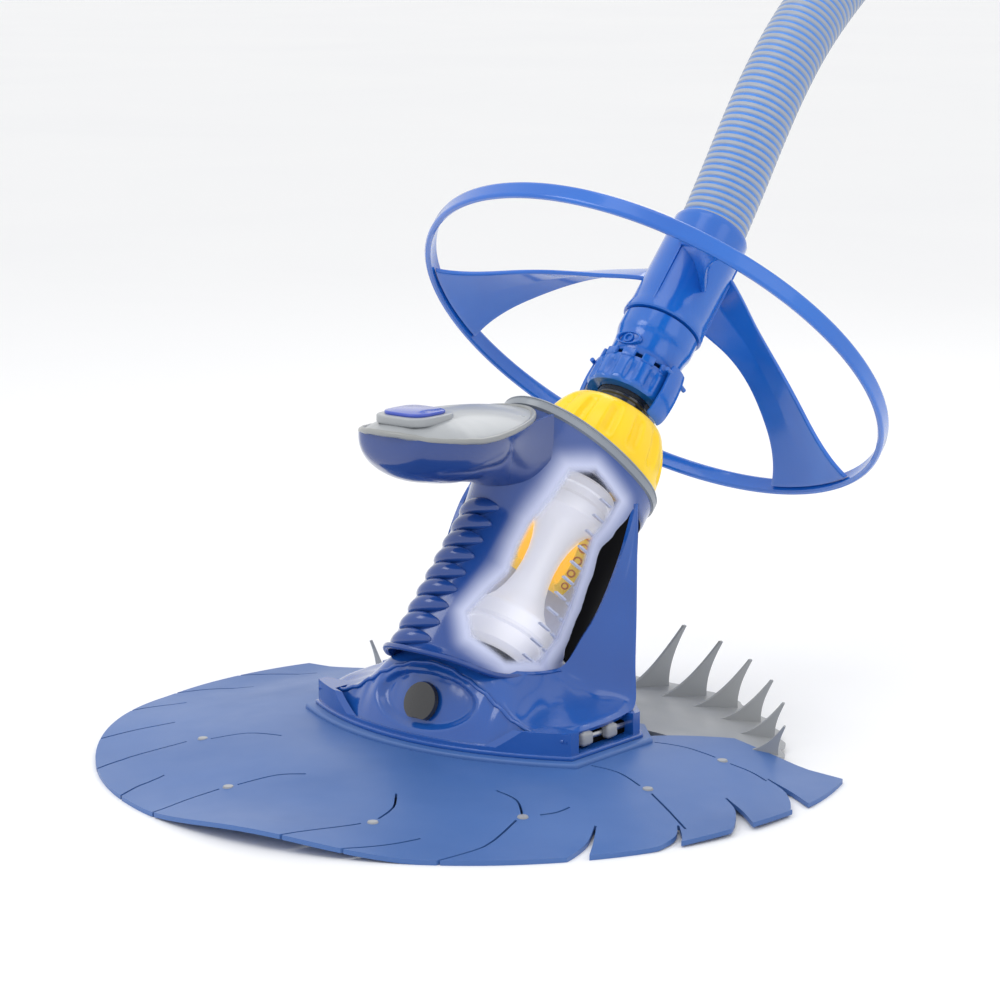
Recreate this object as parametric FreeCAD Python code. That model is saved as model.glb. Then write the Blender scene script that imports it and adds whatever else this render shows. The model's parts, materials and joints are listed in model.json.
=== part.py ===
import FreeCAD, Part
import math
import os

from FreeCAD import Matrix, Placement, Rotation, Vector

# Pool cleaner. Millimetres, +Z up, nose towards -Y, mirror symmetric about X = 0.
# The origin is the centre of the suction mouth, on the floor.
# "Leaning frame": its own Z runs up the pipe axis, its Y points to the back.

# ---- driving dimensions: lean and general ----
hose_radius = 24.0
lean_deg = 42.7            # pipe axis from the vertical
axis_foot_y = -36.0        # where the pipe axis meets the floor
clearance = 0.3            # between pieces that move apart
running_gap = 0.06         # radial gap of a running fit
wall = 2.5                 # casing wall

# ---- suction mouth, foot and skirts ----
mouth_radius = 22.0
throat_wall = 2.5
foot_half_length = 72.0
foot_half_width = 46.0
foot_height = 12.0
skirt_radius = 247.0
skirt_thickness = 3.0
skirt_bore_radius = 33.0
skirt_flat_radius = 118.0
skirt_flat_height = 13.2
fin_sheet_radius = 204.0
fins_per_side = 6
fin_first_deg = 5.5
fin_pitch_deg = 11.0
fin_root_inner = 130.0
fin_root_outer = 190.0
fin_root_drift = 12.0      # outer root's extra radius at the last fin
fin_height = 44.0
fin_height_loss = 24.0
fin_thickness = 2.6
rear_corner_x = 140.0      # where the two skirts' shared edge turns outwards
rear_corner_y = 97.0
rear_edge_y = 79.0         # that edge's place at the rim

# ---- chassis ----
chassis_half_width = 108.0
chassis_corner_y = -34.0
chassis_front_y = -65.0
chassis_side_y = 37.0
chassis_rear_y = 62.0
chassis_bottom = 18.6
floor_thickness = 3.0
front_lip = 24.0
tray_top = 36.0
brow_y = -43.0
brow_height = 66.0
wing_height = 32.0
front_thickness = 9.0
panel_facets = 12           # straight runs across the bowed front panel
recess_half_width = 42.0
recess_half_height = 20.0
recess_depth = 6.0
side_wall_thickness = 4.0
latch_pin_radius = 2.6
latch_length = 13.0
latch_gap = 8.0
latch_radius = 5.2
latch_reach = 7.0
latch_pocket_width = 22.0
latch_pocket_front = -26.0
latch_pocket_rear = 30.0
recess_height = 45.0
badge_radius = 13.5
badge_thickness = 3.0
badge_height = 43.0

# ---- housing ----
housing_radius = 50.0      # half width; the back is a half circle
housing_side_radius = 95.0
housing_prow = 74.5        # reach in front of the axis
housing_flare_low = 150.0  # above this the section grows towards the top's
housing_top_side_radius = 130.0
housing_top_prow = 85.0
housing_top = 222.0
housing_cut_height = 66.0
housing_cut_slope_deg = -12.2
louvre_count = 9
louvre_first = 42.0
louvre_last = 146.0
louvre_reach = 5.0
louvre_left = -24.0
louvre_right = 13.0
trim_thickness = 6.0
window_low = 92.0
window_high = 210.0
window_back = 26.0
window_front = 38.0
window_thickness = 2.0

# ---- diaphragm cassette ----
diaphragm_low = 86.0
diaphragm_high = 216.0
diaphragm_low_radius = 28.0
diaphragm_high_radius = 25.0
diaphragm_neck_radius = 10.5
diaphragm_wall = 1.8
cassette_radius = 42.0
cassette_wall = 2.0
cassette_rib_count = 10
saddle_low = 136.0
saddle_high = 182.0
saddle_radius = 24.0
saddle_bore = 18.5

# ---- handle ----
handle_half_width = 45.0
handle_tip_y = -104.0
handle_rim_height = 220.0
handle_depth = 38.0
handle_centre_y = -46.0
handle_rear_y = 52.0
cover_height = 12.0
neck_half_width = 24.0
neck_front_y = -4.0
neck_top = 196.0
neck_corner_y = 11.0
neck_corner_height = 163.0
neck_rear_y = 100.0
pad_radius = 17.0
pad_thickness = 5.0
pad_y = -62.0

# ---- nut and pipe, sized to the hose ----
nut_height = 43.0
nut_wall = 6.7
nut_flute_count = 18
cuff_wall = 5.5
pipe_end = 336.0
flange_width = 14.1
flange_thickness = 5.0

# ---- cuff, collar and deflector wheel ----
collar_low = 287.0
collar_height = 25.0
collar_scallop_count = 12
cuff_shoulder_low = 338.0
sleeve_low = 348.3
sleeve_high = 433.0
lever_low = 275.0
lever_high = 321.0
lever_pivot = 309.0
lever_thickness = 5.0
lever_width = 18.0
lever_pin_radius = 1.6
wheel_radius = 173.0
wheel_height = 334.0
wheel_band_width = 12.0
wheel_band_thickness = 5.0
spoke_count = 3
spoke_first_deg = 50.0
spoke_root_low = 372.0
spoke_root_high = 410.0
spoke_thickness = 4.0
spoke_rim_span_deg = 28.0

# ---- hose ----
hose_wall = 2.5
cuff_top = 427.0           # along the pipe axis
far_cuff_radius = 27.0
far_cuff_length = 62.0
far_cuff_bore = 19.0
# Route of the hose's centre line after its start: distance up the pipe axis, and
# distance from that axis towards the front (both in the leaning frame).
hose_route = [(429.4, 0.2), (466.0, 3.5), (508.0, 9.5), (552.0, 14.0), (598.0, 14.0),
              (645.0, 7.0), (690.0, -4.0), (731.0, -18.0)]

# ---- screws ----
screw_radius = 1.6
screw_head_radius = 3.2
screw_head_height = 2.0
screw_length = 9.0

# ---- sizes that follow from those above ----
cuff_radius = hose_radius + 1.0
cuff_shoulder_radius = cuff_radius + 2.5
sleeve_radius = cuff_radius + 2.8
pipe_radius = cuff_radius - cuff_wall
pipe_bore = pipe_radius - 3.0
collar_radius = pipe_radius + 9.5
flange_radius = pipe_radius + flange_width
nut_bore_radius = flange_radius + nut_wall
nut_radius = nut_bore_radius + nut_wall
nut_top_radius = pipe_radius + 5.5

X_AXIS = Vector(1, 0, 0)
Y_AXIS = Vector(0, 1, 0)
Z_AXIS = Vector(0, 0, 1)
LEAN = Placement(Vector(0, axis_foot_y, 0), Rotation(X_AXIS, -lean_deg))

parts = {}


def add(name, shape):
    """Keep a finished node under its name."""
    parts[name] = shape


def lean(shape):
    """Place a shape that was modelled in the leaning frame."""
    placed = shape.copy()
    placed.Placement = LEAN.multiply(placed.Placement)
    return placed


def mirrored(shape):
    """The same shape on the other side of X = 0."""
    return shape.mirror(Vector(0, 0, 0), X_AXIS)


def disc(radius, low, high, x=0.0, y=0.0):
    """A solid cylinder along Z between two heights."""
    return Part.makeCylinder(radius, high - low, Vector(x, y, low))


def ring(outer, inner, low, high):
    """A tube along Z between two heights."""
    return disc(outer, low, high).cut(disc(inner, low - 1, high + 1))


def block(x0, x1, y0, y1, z0, z1):
    """A box between two corners."""
    return Part.makeBox(x1 - x0, y1 - y0, z1 - z0, Vector(x0, y0, z0))


def polygon_face(points):
    """A flat face through a closed list of points."""
    return Part.Face(Part.makePolygon(list(points) + [points[0]]))


def turned(profile):
    """Revolve a list of (radius, height) points about Z."""
    face = polygon_face([Vector(r, 0, z) for r, z in profile])
    return face.revolve(Vector(0, 0, 0), Z_AXIS, 360)


def joined(shapes):
    """Fuse a list of shapes into one clean solid."""
    shapes = list(shapes)
    if len(shapes) == 1:
        return shapes[0]
    return shapes[0].fuse(shapes[1:]).removeSplitter()


def grouped(shapes):
    """Separate solids kept together in one node."""
    return Part.makeCompound([solid for shape in shapes for solid in shape.Solids])


# ---------------------------------------------------------------- sections


def prow_circle(side_radius, prow):
    """Centre and radius of the arc that rounds the section's front."""
    side_centre = side_radius - housing_radius
    radius = (side_radius ** 2 - prow ** 2 - side_centre ** 2) / (2 * (side_radius - prow))
    return prow - radius, radius


def housing_section(side_radius, prow, inset=0.0):
    """The housing's section: half round behind, drawn to a blunt prow in front."""
    side_centre = side_radius - housing_radius
    prow_centre, prow_radius = prow_circle(side_radius, prow)
    turn = math.atan2(prow_centre, side_centre)
    round_r = housing_radius - inset
    side_r = side_radius - inset

    def on_side(angle):
        return Vector(-side_centre + side_r * math.cos(angle), -side_r * math.sin(angle), 0)

    def flip(point):
        return Vector(-point.x, point.y, 0)

    right = Vector(round_r, 0, 0)
    middle = on_side(turn / 2)
    meet = on_side(turn)
    front = Vector(0, -prow_centre - prow_radius + inset, 0)
    edges = [
        Part.Arc(flip(right), Vector(0, round_r, 0), right).toShape(),
        Part.Arc(right, middle, meet).toShape(),
        Part.Arc(meet, front, flip(meet)).toShape(),
        Part.Arc(flip(meet), flip(middle), flip(right)).toShape(),
    ]
    return Part.Face(Part.Wire(edges))


def top_section(low, high, inset=0.0):
    """The widest section, at the housing's top, drawn between two heights."""
    face = housing_section(housing_top_side_radius, housing_top_prow, inset)
    face.translate(Vector(0, 0, low))
    return face.extrude(Vector(0, 0, high - low))


def housing_prism(low, high, inset=0.0):
    """The housing's body: one section up to the flare, then growing to the top's."""
    face = housing_section(housing_side_radius, housing_prow, inset)
    face.translate(Vector(0, 0, low))
    pieces = [face.extrude(Vector(0, 0, housing_flare_low - low))]
    face.translate(Vector(0, 0, housing_flare_low - low))
    top = housing_section(housing_top_side_radius, housing_top_prow, inset)
    top.translate(Vector(0, 0, housing_top))
    pieces.append(Part.makeLoft([face.OuterWire, top.OuterWire], True, True))
    if high > housing_top:
        pieces.append(top_section(housing_top, high, inset))
    return joined(pieces)


def chassis_face(inset=0.0):
    """The chassis outline: bowed front, straight sides, cut rear corners."""
    half = chassis_half_width - inset
    front = chassis_front_y + inset
    corner = chassis_corner_y + inset * 0.7
    rear = chassis_rear_y - inset
    side = chassis_side_y - inset * 0.4
    taper = chassis_rear_y - chassis_side_y
    arc = Part.Arc(Vector(-half, corner, 0), Vector(0, front, 0), Vector(half, corner, 0))
    corners = [(half, corner), (half, side), (half - taper, rear), (taper - half, rear),
               (-half, side), (-half, corner)]
    points = [Vector(x, y, 0) for x, y in corners]
    return Part.Face(Part.Wire([arc.toShape()] + Part.makePolygon(points).Edges))


def chassis_prism(low, high, inset=0.0):
    """The chassis outline drawn up between two heights."""
    face = chassis_face(inset)
    face.translate(Vector(0, 0, low))
    return face.extrude(Vector(0, 0, high - low))


# ---------------------------------------------------------------- foot and skirts


def oval_prism(half_x, half_y, low, high):
    """A pad with straight long sides and round ends, drawn along Z."""
    straight = half_x - half_y
    ends = [disc(half_y, low, high, x=sign * straight) for sign in (-1, 1)]
    return joined([block(-straight, straight, -half_y, half_y, low, high)] + ends)


def build_foot():
    """The shoe round the suction mouth, its retaining ring and their screws."""
    bore = disc(mouth_radius, -1, foot_height + 30)
    collar = ring(skirt_bore_radius - clearance, mouth_radius, foot_height, chassis_bottom)
    pad = oval_prism(foot_half_length, foot_half_width, 0, foot_height)
    channels = [block(-foot_half_length, foot_half_length, y - 3, y + 3, -1, 3)
                for y in (-32, 32)]
    pad = pad.cut(bore).cut(joined(channels))
    parts_of_foot = [pad, collar]
    add("foot_pad", joined(parts_of_foot))
    low = skirt_flat_height + skirt_thickness
    add("disc_retainer", ring(skirt_bore_radius + 16, skirt_bore_radius, low, chassis_bottom))


def skirt_underside(radius):
    """Height of the sagging skirt's underside at a radius."""
    middle = skirt_flat_radius + 0.45 * (skirt_radius - skirt_flat_radius)
    droop = 0.45 * skirt_flat_height
    if radius <= skirt_flat_radius:
        return skirt_flat_height
    if radius <= middle:
        share = (radius - skirt_flat_radius) / (middle - skirt_flat_radius)
        return skirt_flat_height + share * (droop - skirt_flat_height)
    return droop * (skirt_radius - radius) / (skirt_radius - middle)


def skirt_profile(outer_radius):
    """Half section of the sagging skirt out to a radius."""
    middle = skirt_flat_radius + 0.45 * (skirt_radius - skirt_flat_radius)
    radii = [skirt_bore_radius, skirt_flat_radius, middle, outer_radius]
    lower = [(r, skirt_underside(r)) for r in radii]
    upper = [(r, z + skirt_thickness) for r, z in reversed(lower)]
    return lower + upper


def rear_cut(gap):
    """The part of the plan, behind the chassis, that belongs to the finned skirt."""
    inner = chassis_half_width - 14
    far = skirt_radius + 50
    half = [(inner, chassis_side_y), (rear_corner_x, rear_corner_y), (far, rear_edge_y),
            (far, far)]
    points = [Vector(x - gap, y + gap, -20) for x, y in half]
    points += [Vector(-point.x, point.y, -20) for point in reversed(points)]
    return polygon_face(points).extrude(Vector(0, 0, 80))


def fin_blade(order):
    """One upright sickle fin, standing on the finned skirt along a radius."""
    share = order / (fins_per_side - 1)
    height = fin_height - fin_height_loss * share
    root_out = fin_root_outer + fin_root_drift * share
    root_in = fin_root_inner + (root_out - 18 - fin_root_inner) * share
    length = root_out - root_in
    sink = skirt_thickness / 2
    low_in = skirt_underside(root_in) + sink
    low_out = skirt_underside(root_out) + sink
    base = skirt_underside(fin_root_outer)
    profile = [(root_in, low_in), (root_in + 4, low_in + 4),
               (root_in + 0.45 * length, base + 0.13 * height + 5),
               (root_in + 0.74 * length, base + 0.3 * height + 3),
               (root_out, base + 0.62 * height), (root_out + 0.22 * height, base + height),
               (root_out + 0.2 * height, base + 0.5 * height),
               (root_out + 0.08 * height, base + 0.2 * height), (root_out, low_out)]
    face = polygon_face([Vector(r, -fin_thickness / 2, z) for r, z in profile])
    blade = face.extrude(Vector(0, fin_thickness, 0))
    angle = fin_first_deg + order * fin_pitch_deg
    blade.rotate(Vector(0, 0, 0), Z_AXIS, 90 - angle)
    return blade


def build_skirts():
    """The soft blue skirt and the soft grey finned skirt behind it."""
    skirt = turned(skirt_profile(skirt_radius))
    add("flexible_disc", skirt.cut(rear_cut(0)))
    sheet = turned(skirt_profile(fin_sheet_radius)).common(rear_cut(clearance + 0.4))
    right = [fin_blade(order) for order in range(fins_per_side)]
    blades = right + [mirrored(blade) for blade in right]
    region = rear_cut(clearance + 0.4)
    add("fin_disc", joined([sheet] + [blade.common(region) for blade in blades]))


# ---------------------------------------------------------------- chassis


def housing_foot_plane():
    """A big block above the housing's lower rim, in the real frame."""
    size = 600.0
    slab = Part.makeBox(size, size, size, Vector(-size / 2, -size / 2, 0))
    slab.rotate(Vector(0, 0, 0), X_AXIS, housing_cut_slope_deg)
    slab.translate(Vector(0, 0, housing_cut_height))
    return slab


def latch_recess(sign):
    """The open pocket at one side of the tray."""
    pocket = block(chassis_half_width - latch_pocket_width, chassis_half_width + 5,
                   latch_pocket_front, latch_pocket_rear, chassis_bottom + 3.4, tray_top + 1)
    return pocket if sign > 0 else mirrored(pocket)


def ahead_of_front(offset):
    """Everything in front of the leaning front panel's face, moved back by an offset."""
    back_lean = math.atan2(brow_y - chassis_front_y, brow_height - front_lip)
    size = 500.0
    slab = Part.makeBox(size, size, size, Vector(-size / 2, -size, -size / 2))
    slab.rotate(Vector(0, 0, 0), X_AXIS, -math.degrees(back_lean))
    shift = offset / math.cos(back_lean)
    slab.translate(Vector(0, chassis_front_y + shift, front_lip))
    return slab


def build_tray():
    """The chassis tray with its hollow, throat hole and latch pockets."""
    tray = chassis_prism(chassis_bottom, tray_top)
    hollow = chassis_prism(chassis_bottom + floor_thickness, tray_top + 1, wall)
    keep = chassis_half_width - latch_pocket_width - 3
    hollow = hollow.common(block(-keep, keep, -200, 200, 0, 100))
    throat = disc(mouth_radius + throat_wall, chassis_bottom - 1, tray_top)
    tray = tray.cut(hollow).cut(throat)
    for sign in (-1, 1):
        tray = tray.cut(latch_recess(sign))
    upper = block(-300, 300, -300, 300, front_lip, 300)
    tray = tray.cut(ahead_of_front(front_thickness).common(upper))
    add("chassis_base", tray)


def brow_outline(low):
    """The front arch: level at the wing tips, highest over the middle."""
    half = chassis_half_width - 3
    wing = 0.62 * half
    shoulder = wing_height + 0.25 * (brow_height - wing_height)

    def arc(points):
        return Part.Arc(*[Vector(x, 0, z) for x, z in points]).toShape()

    left = [(-half, wing_height), (-0.8 * half, wing_height + 2), (-wing, shoulder)]
    right = [(-x, z) for x, z in reversed(left)]
    ends = [(half, wing_height), (half, low), (-half, low), (-half, wing_height)]
    edges = [arc(left), arc([(-wing, shoulder), (0, brow_height), (wing, shoulder)]), arc(right)]
    ends = Part.makePolygon([Vector(x, 0, z) for x, z in ends])
    return Part.Face(Part.Wire(edges + ends.Edges))


def cover_loft(inset):
    """The cover from the tray's rim up to the housing's foot."""
    half = chassis_half_width - 5 - inset
    front = chassis_front_y + inset
    rear = chassis_rear_y - 3 - inset

    def loop(w, f, r, z, corner):
        points = [(-w + corner, f), (w - corner, f), (w, f + corner), (w, r - corner),
                  (w - corner, r), (-w + corner, r), (-w, r - corner), (-w, f + corner)]
        return Part.makePolygon([Vector(x, y, z) for x, y in points + points[:1]])

    sections = [loop(half, front, rear, tray_top, 14),
                loop(half - 12, front, rear - 4, tray_top + 10 - inset, 18),
                loop(62 - inset, front, rear - 14, brow_height - inset, 26)]
    return Part.makeLoft(sections, True, True).cut(ahead_of_front(front_thickness + inset))


def side_wall_shape():
    """The sail-shaped wall on the right, leaning in towards the housing."""
    front = [(60, 18, 56), (65, 29, 74), (71, 46, 99), (73, 66, 133), (71, 75, 149)]
    rear = [(70, 82, 160), (81, 67, 121), (92, 51, 78), (101, 39, 44)]
    a = Vector(*front[0])
    b = Vector(*rear[-1])
    c = Vector(*rear[0])
    normal = (b - a).cross(c - a)
    normal.normalize()
    flat = []
    for point in front + rear:
        p = Vector(*point)
        flat.append(p - normal * (p - a).dot(normal))
    start = polygon_face(flat)
    return start.extrude(normal * side_wall_thickness)


def build_cover():
    """The brow, shoulders and side walls over the tray."""
    shell = cover_loft(0.0).cut(cover_loft(wall))
    housing_hole = lean(housing_prism(0, housing_top, wall + 4))
    shell = shell.cut(housing_hole)
    above = lean(housing_prism(0, housing_top)).common(housing_foot_plane())
    shell = shell.cut(above)
    add("chassis_cover", shell)
    right = side_wall_shape().cut(cover_loft(0.0)).cut(lean(housing_prism(0, housing_top)))
    right = right.cut(chassis_prism(chassis_bottom, tray_top))
    add("side_wall_right", right)
    add("side_wall_left", mirrored(right))


def on_front_face(shape, height):
    """Turn a shape modelled facing up so that it lies on the leaning front panel."""
    back_lean = math.atan2(brow_y - chassis_front_y, brow_height - front_lip)
    placed = shape.copy()
    placed.rotate(Vector(0, 0, 0), X_AXIS, 90 - math.degrees(back_lean))
    y = chassis_front_y + (height - front_lip) * math.tan(back_lean)
    placed.translate(Vector(0, y, height))
    return placed


def panel_plan():
    """The bowed front's outline in short straight runs, a little inside the tray's."""
    half = chassis_half_width - clearance
    bow = chassis_corner_y - chassis_front_y
    front = []
    for step in range(panel_facets + 1):
        share = 2 * step / panel_facets - 1
        front.append((share * half, chassis_front_y + clearance + bow * share ** 2))
    points = front + [(half, chassis_side_y), (-half, chassis_side_y)]
    face = polygon_face([Vector(x, y, front_lip) for x, y in points])
    return face.extrude(Vector(0, 0, brow_height))


def build_front():
    """The front panel under the brow, with the oval recess and its blank badge."""
    panel = brow_outline(front_lip).extrude(Vector(0, 60, 0))
    panel.translate(Vector(0, chassis_front_y - 5, 0))
    panel = panel.common(ahead_of_front(front_thickness)).cut(ahead_of_front(0.0))
    panel = panel.common(panel_plan())
    oval = Part.Ellipse(Vector(0, 0, -recess_depth), recess_half_width, recess_half_height)
    bowl = Part.Face(Part.Wire(oval.toShape())).extrude(Vector(0, 0, 5 * recess_depth))
    badge = disc(badge_radius, -1.0, badge_thickness - 1.0)
    panel = panel.cut(on_front_face(bowl, recess_height))
    seat = disc(badge_radius, -recess_depth - 1, -1.0)
    add("chassis_front", joined([panel, on_front_face(seat, badge_height)]))
    add("round_badge", on_front_face(badge, badge_height))


def build_latches():
    """A pin with two grey latch blocks in each side pocket of the tray."""
    x = chassis_half_width - 9
    z = chassis_bottom + 3.4 + latch_radius + clearance
    length = 2 * latch_length + latch_gap
    y0 = 2 - length / 2
    pin_low = latch_pocket_front
    pin_high = latch_pocket_rear

    def along_y(radius, start, end):
        return Part.makeCylinder(radius, end - start, Vector(x, start, z), Y_AXIS)

    pin = along_y(latch_pin_radius, pin_low, pin_high)
    bore = along_y(latch_pin_radius + running_gap, pin_low, pin_high)
    blocks = []
    for start in (y0, y0 + latch_length + latch_gap):
        barrel = along_y(latch_radius, start, start + latch_length)
        tab = block(x, x + latch_reach, start, start + latch_length, z - 2, z + 2)
        blocks.append(barrel.fuse(tab).cut(bore))
    bridge = along_y(latch_pin_radius + 2.4, y0 + latch_length, y0 + latch_length + latch_gap)
    latch = joined(blocks + [bridge.cut(bore)])
    add("latch_pin_right", pin)
    add("latch_pin_left", mirrored(pin))
    add("latch_right", latch)
    add("latch_left", mirrored(latch))


def duct(radius, low, top):
    """An upright round duct from a height, bent into the leaning axis up to a top."""
    bend_height = -axis_foot_y / math.tan(math.radians(lean_deg))
    bend_along = -axis_foot_y / math.sin(math.radians(lean_deg))
    bend = Part.makeSphere(radius, Vector(0, 0, bend_height))
    return joined([disc(radius, low, bend_height), bend, lean(disc(radius, bend_along, top))])


def build_throat():
    """The duct from the suction mouth to the diaphragm, and the ballast beside it."""
    outer = duct(mouth_radius + throat_wall, chassis_bottom, diaphragm_low - 8)
    outer = outer.common(disc(3 * mouth_radius, chassis_bottom, diaphragm_high))
    inner = duct(mouth_radius, chassis_bottom - 1, diaphragm_low)
    add("throat_tube", outer.cut(inner))
    low = chassis_bottom + floor_thickness + screw_head_height + clearance
    bar = block(mouth_radius + 10, chassis_half_width - 32, -22, 40, low, tray_top - 2)
    add("ballast_weights", grouped([bar, mirrored(bar)]))


# ---------------------------------------------------------------- housing


def window_zone(grow=0.0):
    """The opening in the right shell, as a block across its side wall."""
    front = -window_front - grow
    back = window_back + grow
    low = window_low - grow
    high = window_high + grow
    points = [(front, low + 8), (front, low + 46), (front + 20, low + 74),
              (front + 16, high - 10), (front + 26, high), (back - 8, high),
              (back, high - 10), (back, low + 10), (back - 10, low), (front + 8, low)]
    face = polygon_face([Vector(housing_radius * 0.4, y, z) for y, z in points])
    return face.extrude(Vector(housing_radius, 0, 0))


def louvre(height):
    """One rolled rib round the prow, longer on the left."""
    centre, radius = prow_circle(housing_side_radius, housing_prow)
    roll = Part.makeTorus(radius, louvre_reach, Vector(0, -centre, height), Z_AXIS)
    front = block(louvre_left, louvre_right, -centre - radius - 2 * louvre_reach, -centre,
                  height - 2 * louvre_reach, height + 2 * louvre_reach)
    return roll.common(front)


def build_housing():
    """Two shells of the leaning housing, their window and louvres."""
    outer = housing_prism(0, housing_top)
    inner = housing_prism(-5, housing_top + 5, wall)
    foot = housing_foot_plane()
    shell = lean(outer.cut(inner)).common(foot)
    right_half = block(0, 300, -300, 400, -50, 500)
    add("housing_left", shell.cut(right_half))
    add("housing_right", shell.common(right_half).cut(lean(window_zone())))
    pane = housing_prism(0, housing_top, 0.2).cut(housing_prism(-5, housing_top, window_thickness))
    add("side_window", lean(pane.common(window_zone(-clearance))))
    step = (louvre_last - louvre_first) / (louvre_count - 1)
    ribs = [louvre(louvre_first + i * step).cut(outer) for i in range(louvre_count)]
    add("louvres", grouped([lean(rib).common(foot) for rib in ribs]))


def build_trim():
    """The grey plate on top of the housing, with the nut's boss."""
    high = housing_top + trim_thickness
    plate = top_section(housing_top, high)
    boss = ring(nut_bore_radius - clearance, flange_radius + clearance, high, high + 12)
    bore = disc(pipe_radius + 1, 0, high + 20)
    add("top_trim", lean(joined([plate.cut(bore), boss])))


def build_cassette():
    """The hourglass diaphragm, its end rings, yellow saddle and ribbed carrier."""
    low, high = diaphragm_low, diaphragm_high
    neck = diaphragm_neck_radius
    r1, r2 = diaphragm_low_radius, diaphragm_high_radius
    height = high - low

    def at(share):
        return low + share * height

    outer = [(r1, at(0.0)), (r1 + 1, at(0.06)), (r1, at(0.17)), (r1 - 8, at(0.27)),
             (neck + 3, at(0.42)), (neck, at(0.52)), (neck + 2, at(0.66)),
             (r2 - 5, at(0.77)), (r2, at(0.87)), (r2 + 1, at(0.95)), (r2, at(1.0))]
    inner = [(r - diaphragm_wall, z) for r, z in reversed(outer)]
    add("diaphragm", lean(turned(outer + inner)))
    seat = mouth_radius - 1
    add("lower_ring", lean(ring(housing_radius - wall - 1, seat, low - 6, low)))
    add("upper_ring", lean(ring(housing_radius - wall - 1, pipe_radius, high, high + 5)))
    saddle = turned([(saddle_bore, saddle_low), (saddle_radius - 2, saddle_low),
                     (saddle_radius, saddle_low + 6), (saddle_radius, saddle_high - 8),
                     (saddle_bore + 2, saddle_high), (saddle_bore, saddle_high - 4)])
    notch = block(-60, 60, -60, -8, saddle_low - 1, saddle_low + 14)
    saddle = saddle.cut(notch)
    for k in range(4):
        height_k = saddle_low + 8 + k * 8
        hole = Part.makeCylinder(2.4, 60, Vector(0, 12, height_k), X_AXIS)
        saddle = saddle.cut(hole)
    add("saddle", lean(saddle))
    carrier = ring(cassette_radius, cassette_radius - cassette_wall, low, high)
    carrier = carrier.cut(block(-6, 80, -80, 22, low - 1, high + 1))
    ribs = []
    step = height / cassette_rib_count
    for k in range(cassette_rib_count):
        z = low + (k + 0.5) * step
        rib = ring(cassette_radius - cassette_wall, cassette_radius - 6, z - 1, z + 1)
        ribs.append(rib.cut(block(-6, 80, -80, 22, z - 2, z + 2)))
    posts = []
    for angle in (100, 180, 250):
        x = (saddle_radius + cassette_radius - cassette_wall) / 2 * math.cos(math.radians(angle))
        y = (saddle_radius + cassette_radius - cassette_wall) / 2 * math.sin(math.radians(angle))
        length = cassette_radius - cassette_wall - saddle_radius + 2
        web = block(-length / 2, length / 2, -1.2, 1.2, saddle_low + 16, saddle_low + 26)
        web.rotate(Vector(0, 0, 0), Z_AXIS, angle)
        web.translate(Vector(x, y, 0))
        posts.append(web.cut(saddle))
    add("cassette_frame", lean(joined([carrier] + ribs + posts)))


# ---------------------------------------------------------------- handle


def egg_half(inset, depth, rear_y, upper):
    """The upper or lower half of the handle's long egg shape, drawn in by an inset."""
    half = handle_half_width - inset
    arcs = []
    ends = []
    for sign, reach in ((-1, handle_centre_y - handle_tip_y), (1, rear_y - handle_centre_y)):
        quarter = Part.Arc(Vector(1, 0, 0), Vector(math.sqrt(0.5), sign * math.sqrt(0.5), 0),
                           Vector(0, sign, 0)).toShape()
        stretch = Matrix()
        stretch.scale(half, reach - inset, 1.0)
        arcs.append(quarter.transformGeometry(stretch))
        ends.append(Vector(0, sign * (reach - inset), 0))
    spine = Part.LineSegment(ends[0], ends[1]).toShape()
    outline = Part.Face(Part.Wire(Part.__sortEdges__(arcs + [spine])))
    egg = outline.revolve(Vector(0, 0, 0), Y_AXIS, -180 if upper else 180)
    flatten = Matrix()
    flatten.scale(1.0, 1.0, depth / half)
    egg = egg.transformGeometry(flatten)
    egg.translate(Vector(0, handle_centre_y, handle_rim_height))
    return egg


def biggest(shape):
    """The largest solid of a shape."""
    return max(shape.Solids, key=lambda solid: solid.Volume)


def build_handle():
    """The duck-bill handle: bowl, cover, pad, blank badge plate and foam float."""
    column = lean(housing_prism(0, housing_top + trim_thickness))
    size = 4 * housing_top_prow
    behind = lean(block(-size, size, -size, size, housing_top, housing_top + size))
    neck = polygon_face([Vector(-neck_half_width, y, z) for y, z in
                         ((neck_front_y, neck_top), (neck_corner_y, neck_corner_height),
                          (handle_rear_y, neck_top))])
    neck = neck.extrude(Vector(2 * neck_half_width, 0, 0))
    bowl = egg_half(0, handle_depth, neck_rear_y, False).fuse(neck)
    bowl = bowl.cut(egg_half(wall, handle_depth - wall, handle_rear_y, False))
    add("handle_bowl", biggest(bowl.cut(column).cut(behind)))
    cover = egg_half(0, cover_height, handle_rear_y, True)
    cover = cover.cut(egg_half(wall, cover_height - wall, handle_rear_y, True))
    pad_low = handle_rim_height + cover_height - 3
    pad_high = pad_low + pad_thickness
    half = pad_radius * 0.55
    cover = cover.cut(disc(pad_radius, pad_low, pad_low + cover_height, y=pad_y))
    add("handle_cover", biggest(cover.cut(column).cut(behind)))
    add("handle_pad", disc(pad_radius, pad_low, pad_high, y=pad_y))
    add("badge_plate", block(-half, half, pad_y - half, pad_y + half, pad_high, pad_high + 2))
    foam = egg_half(wall + 5, handle_depth - wall - 5, handle_rear_y, False)
    keep_off = lean(housing_prism(0, housing_top + trim_thickness, -clearance))
    add("float_block", biggest(foam.cut(keep_off).cut(behind)))


# ---------------------------------------------------------------- nut, pipe, cuff


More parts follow.
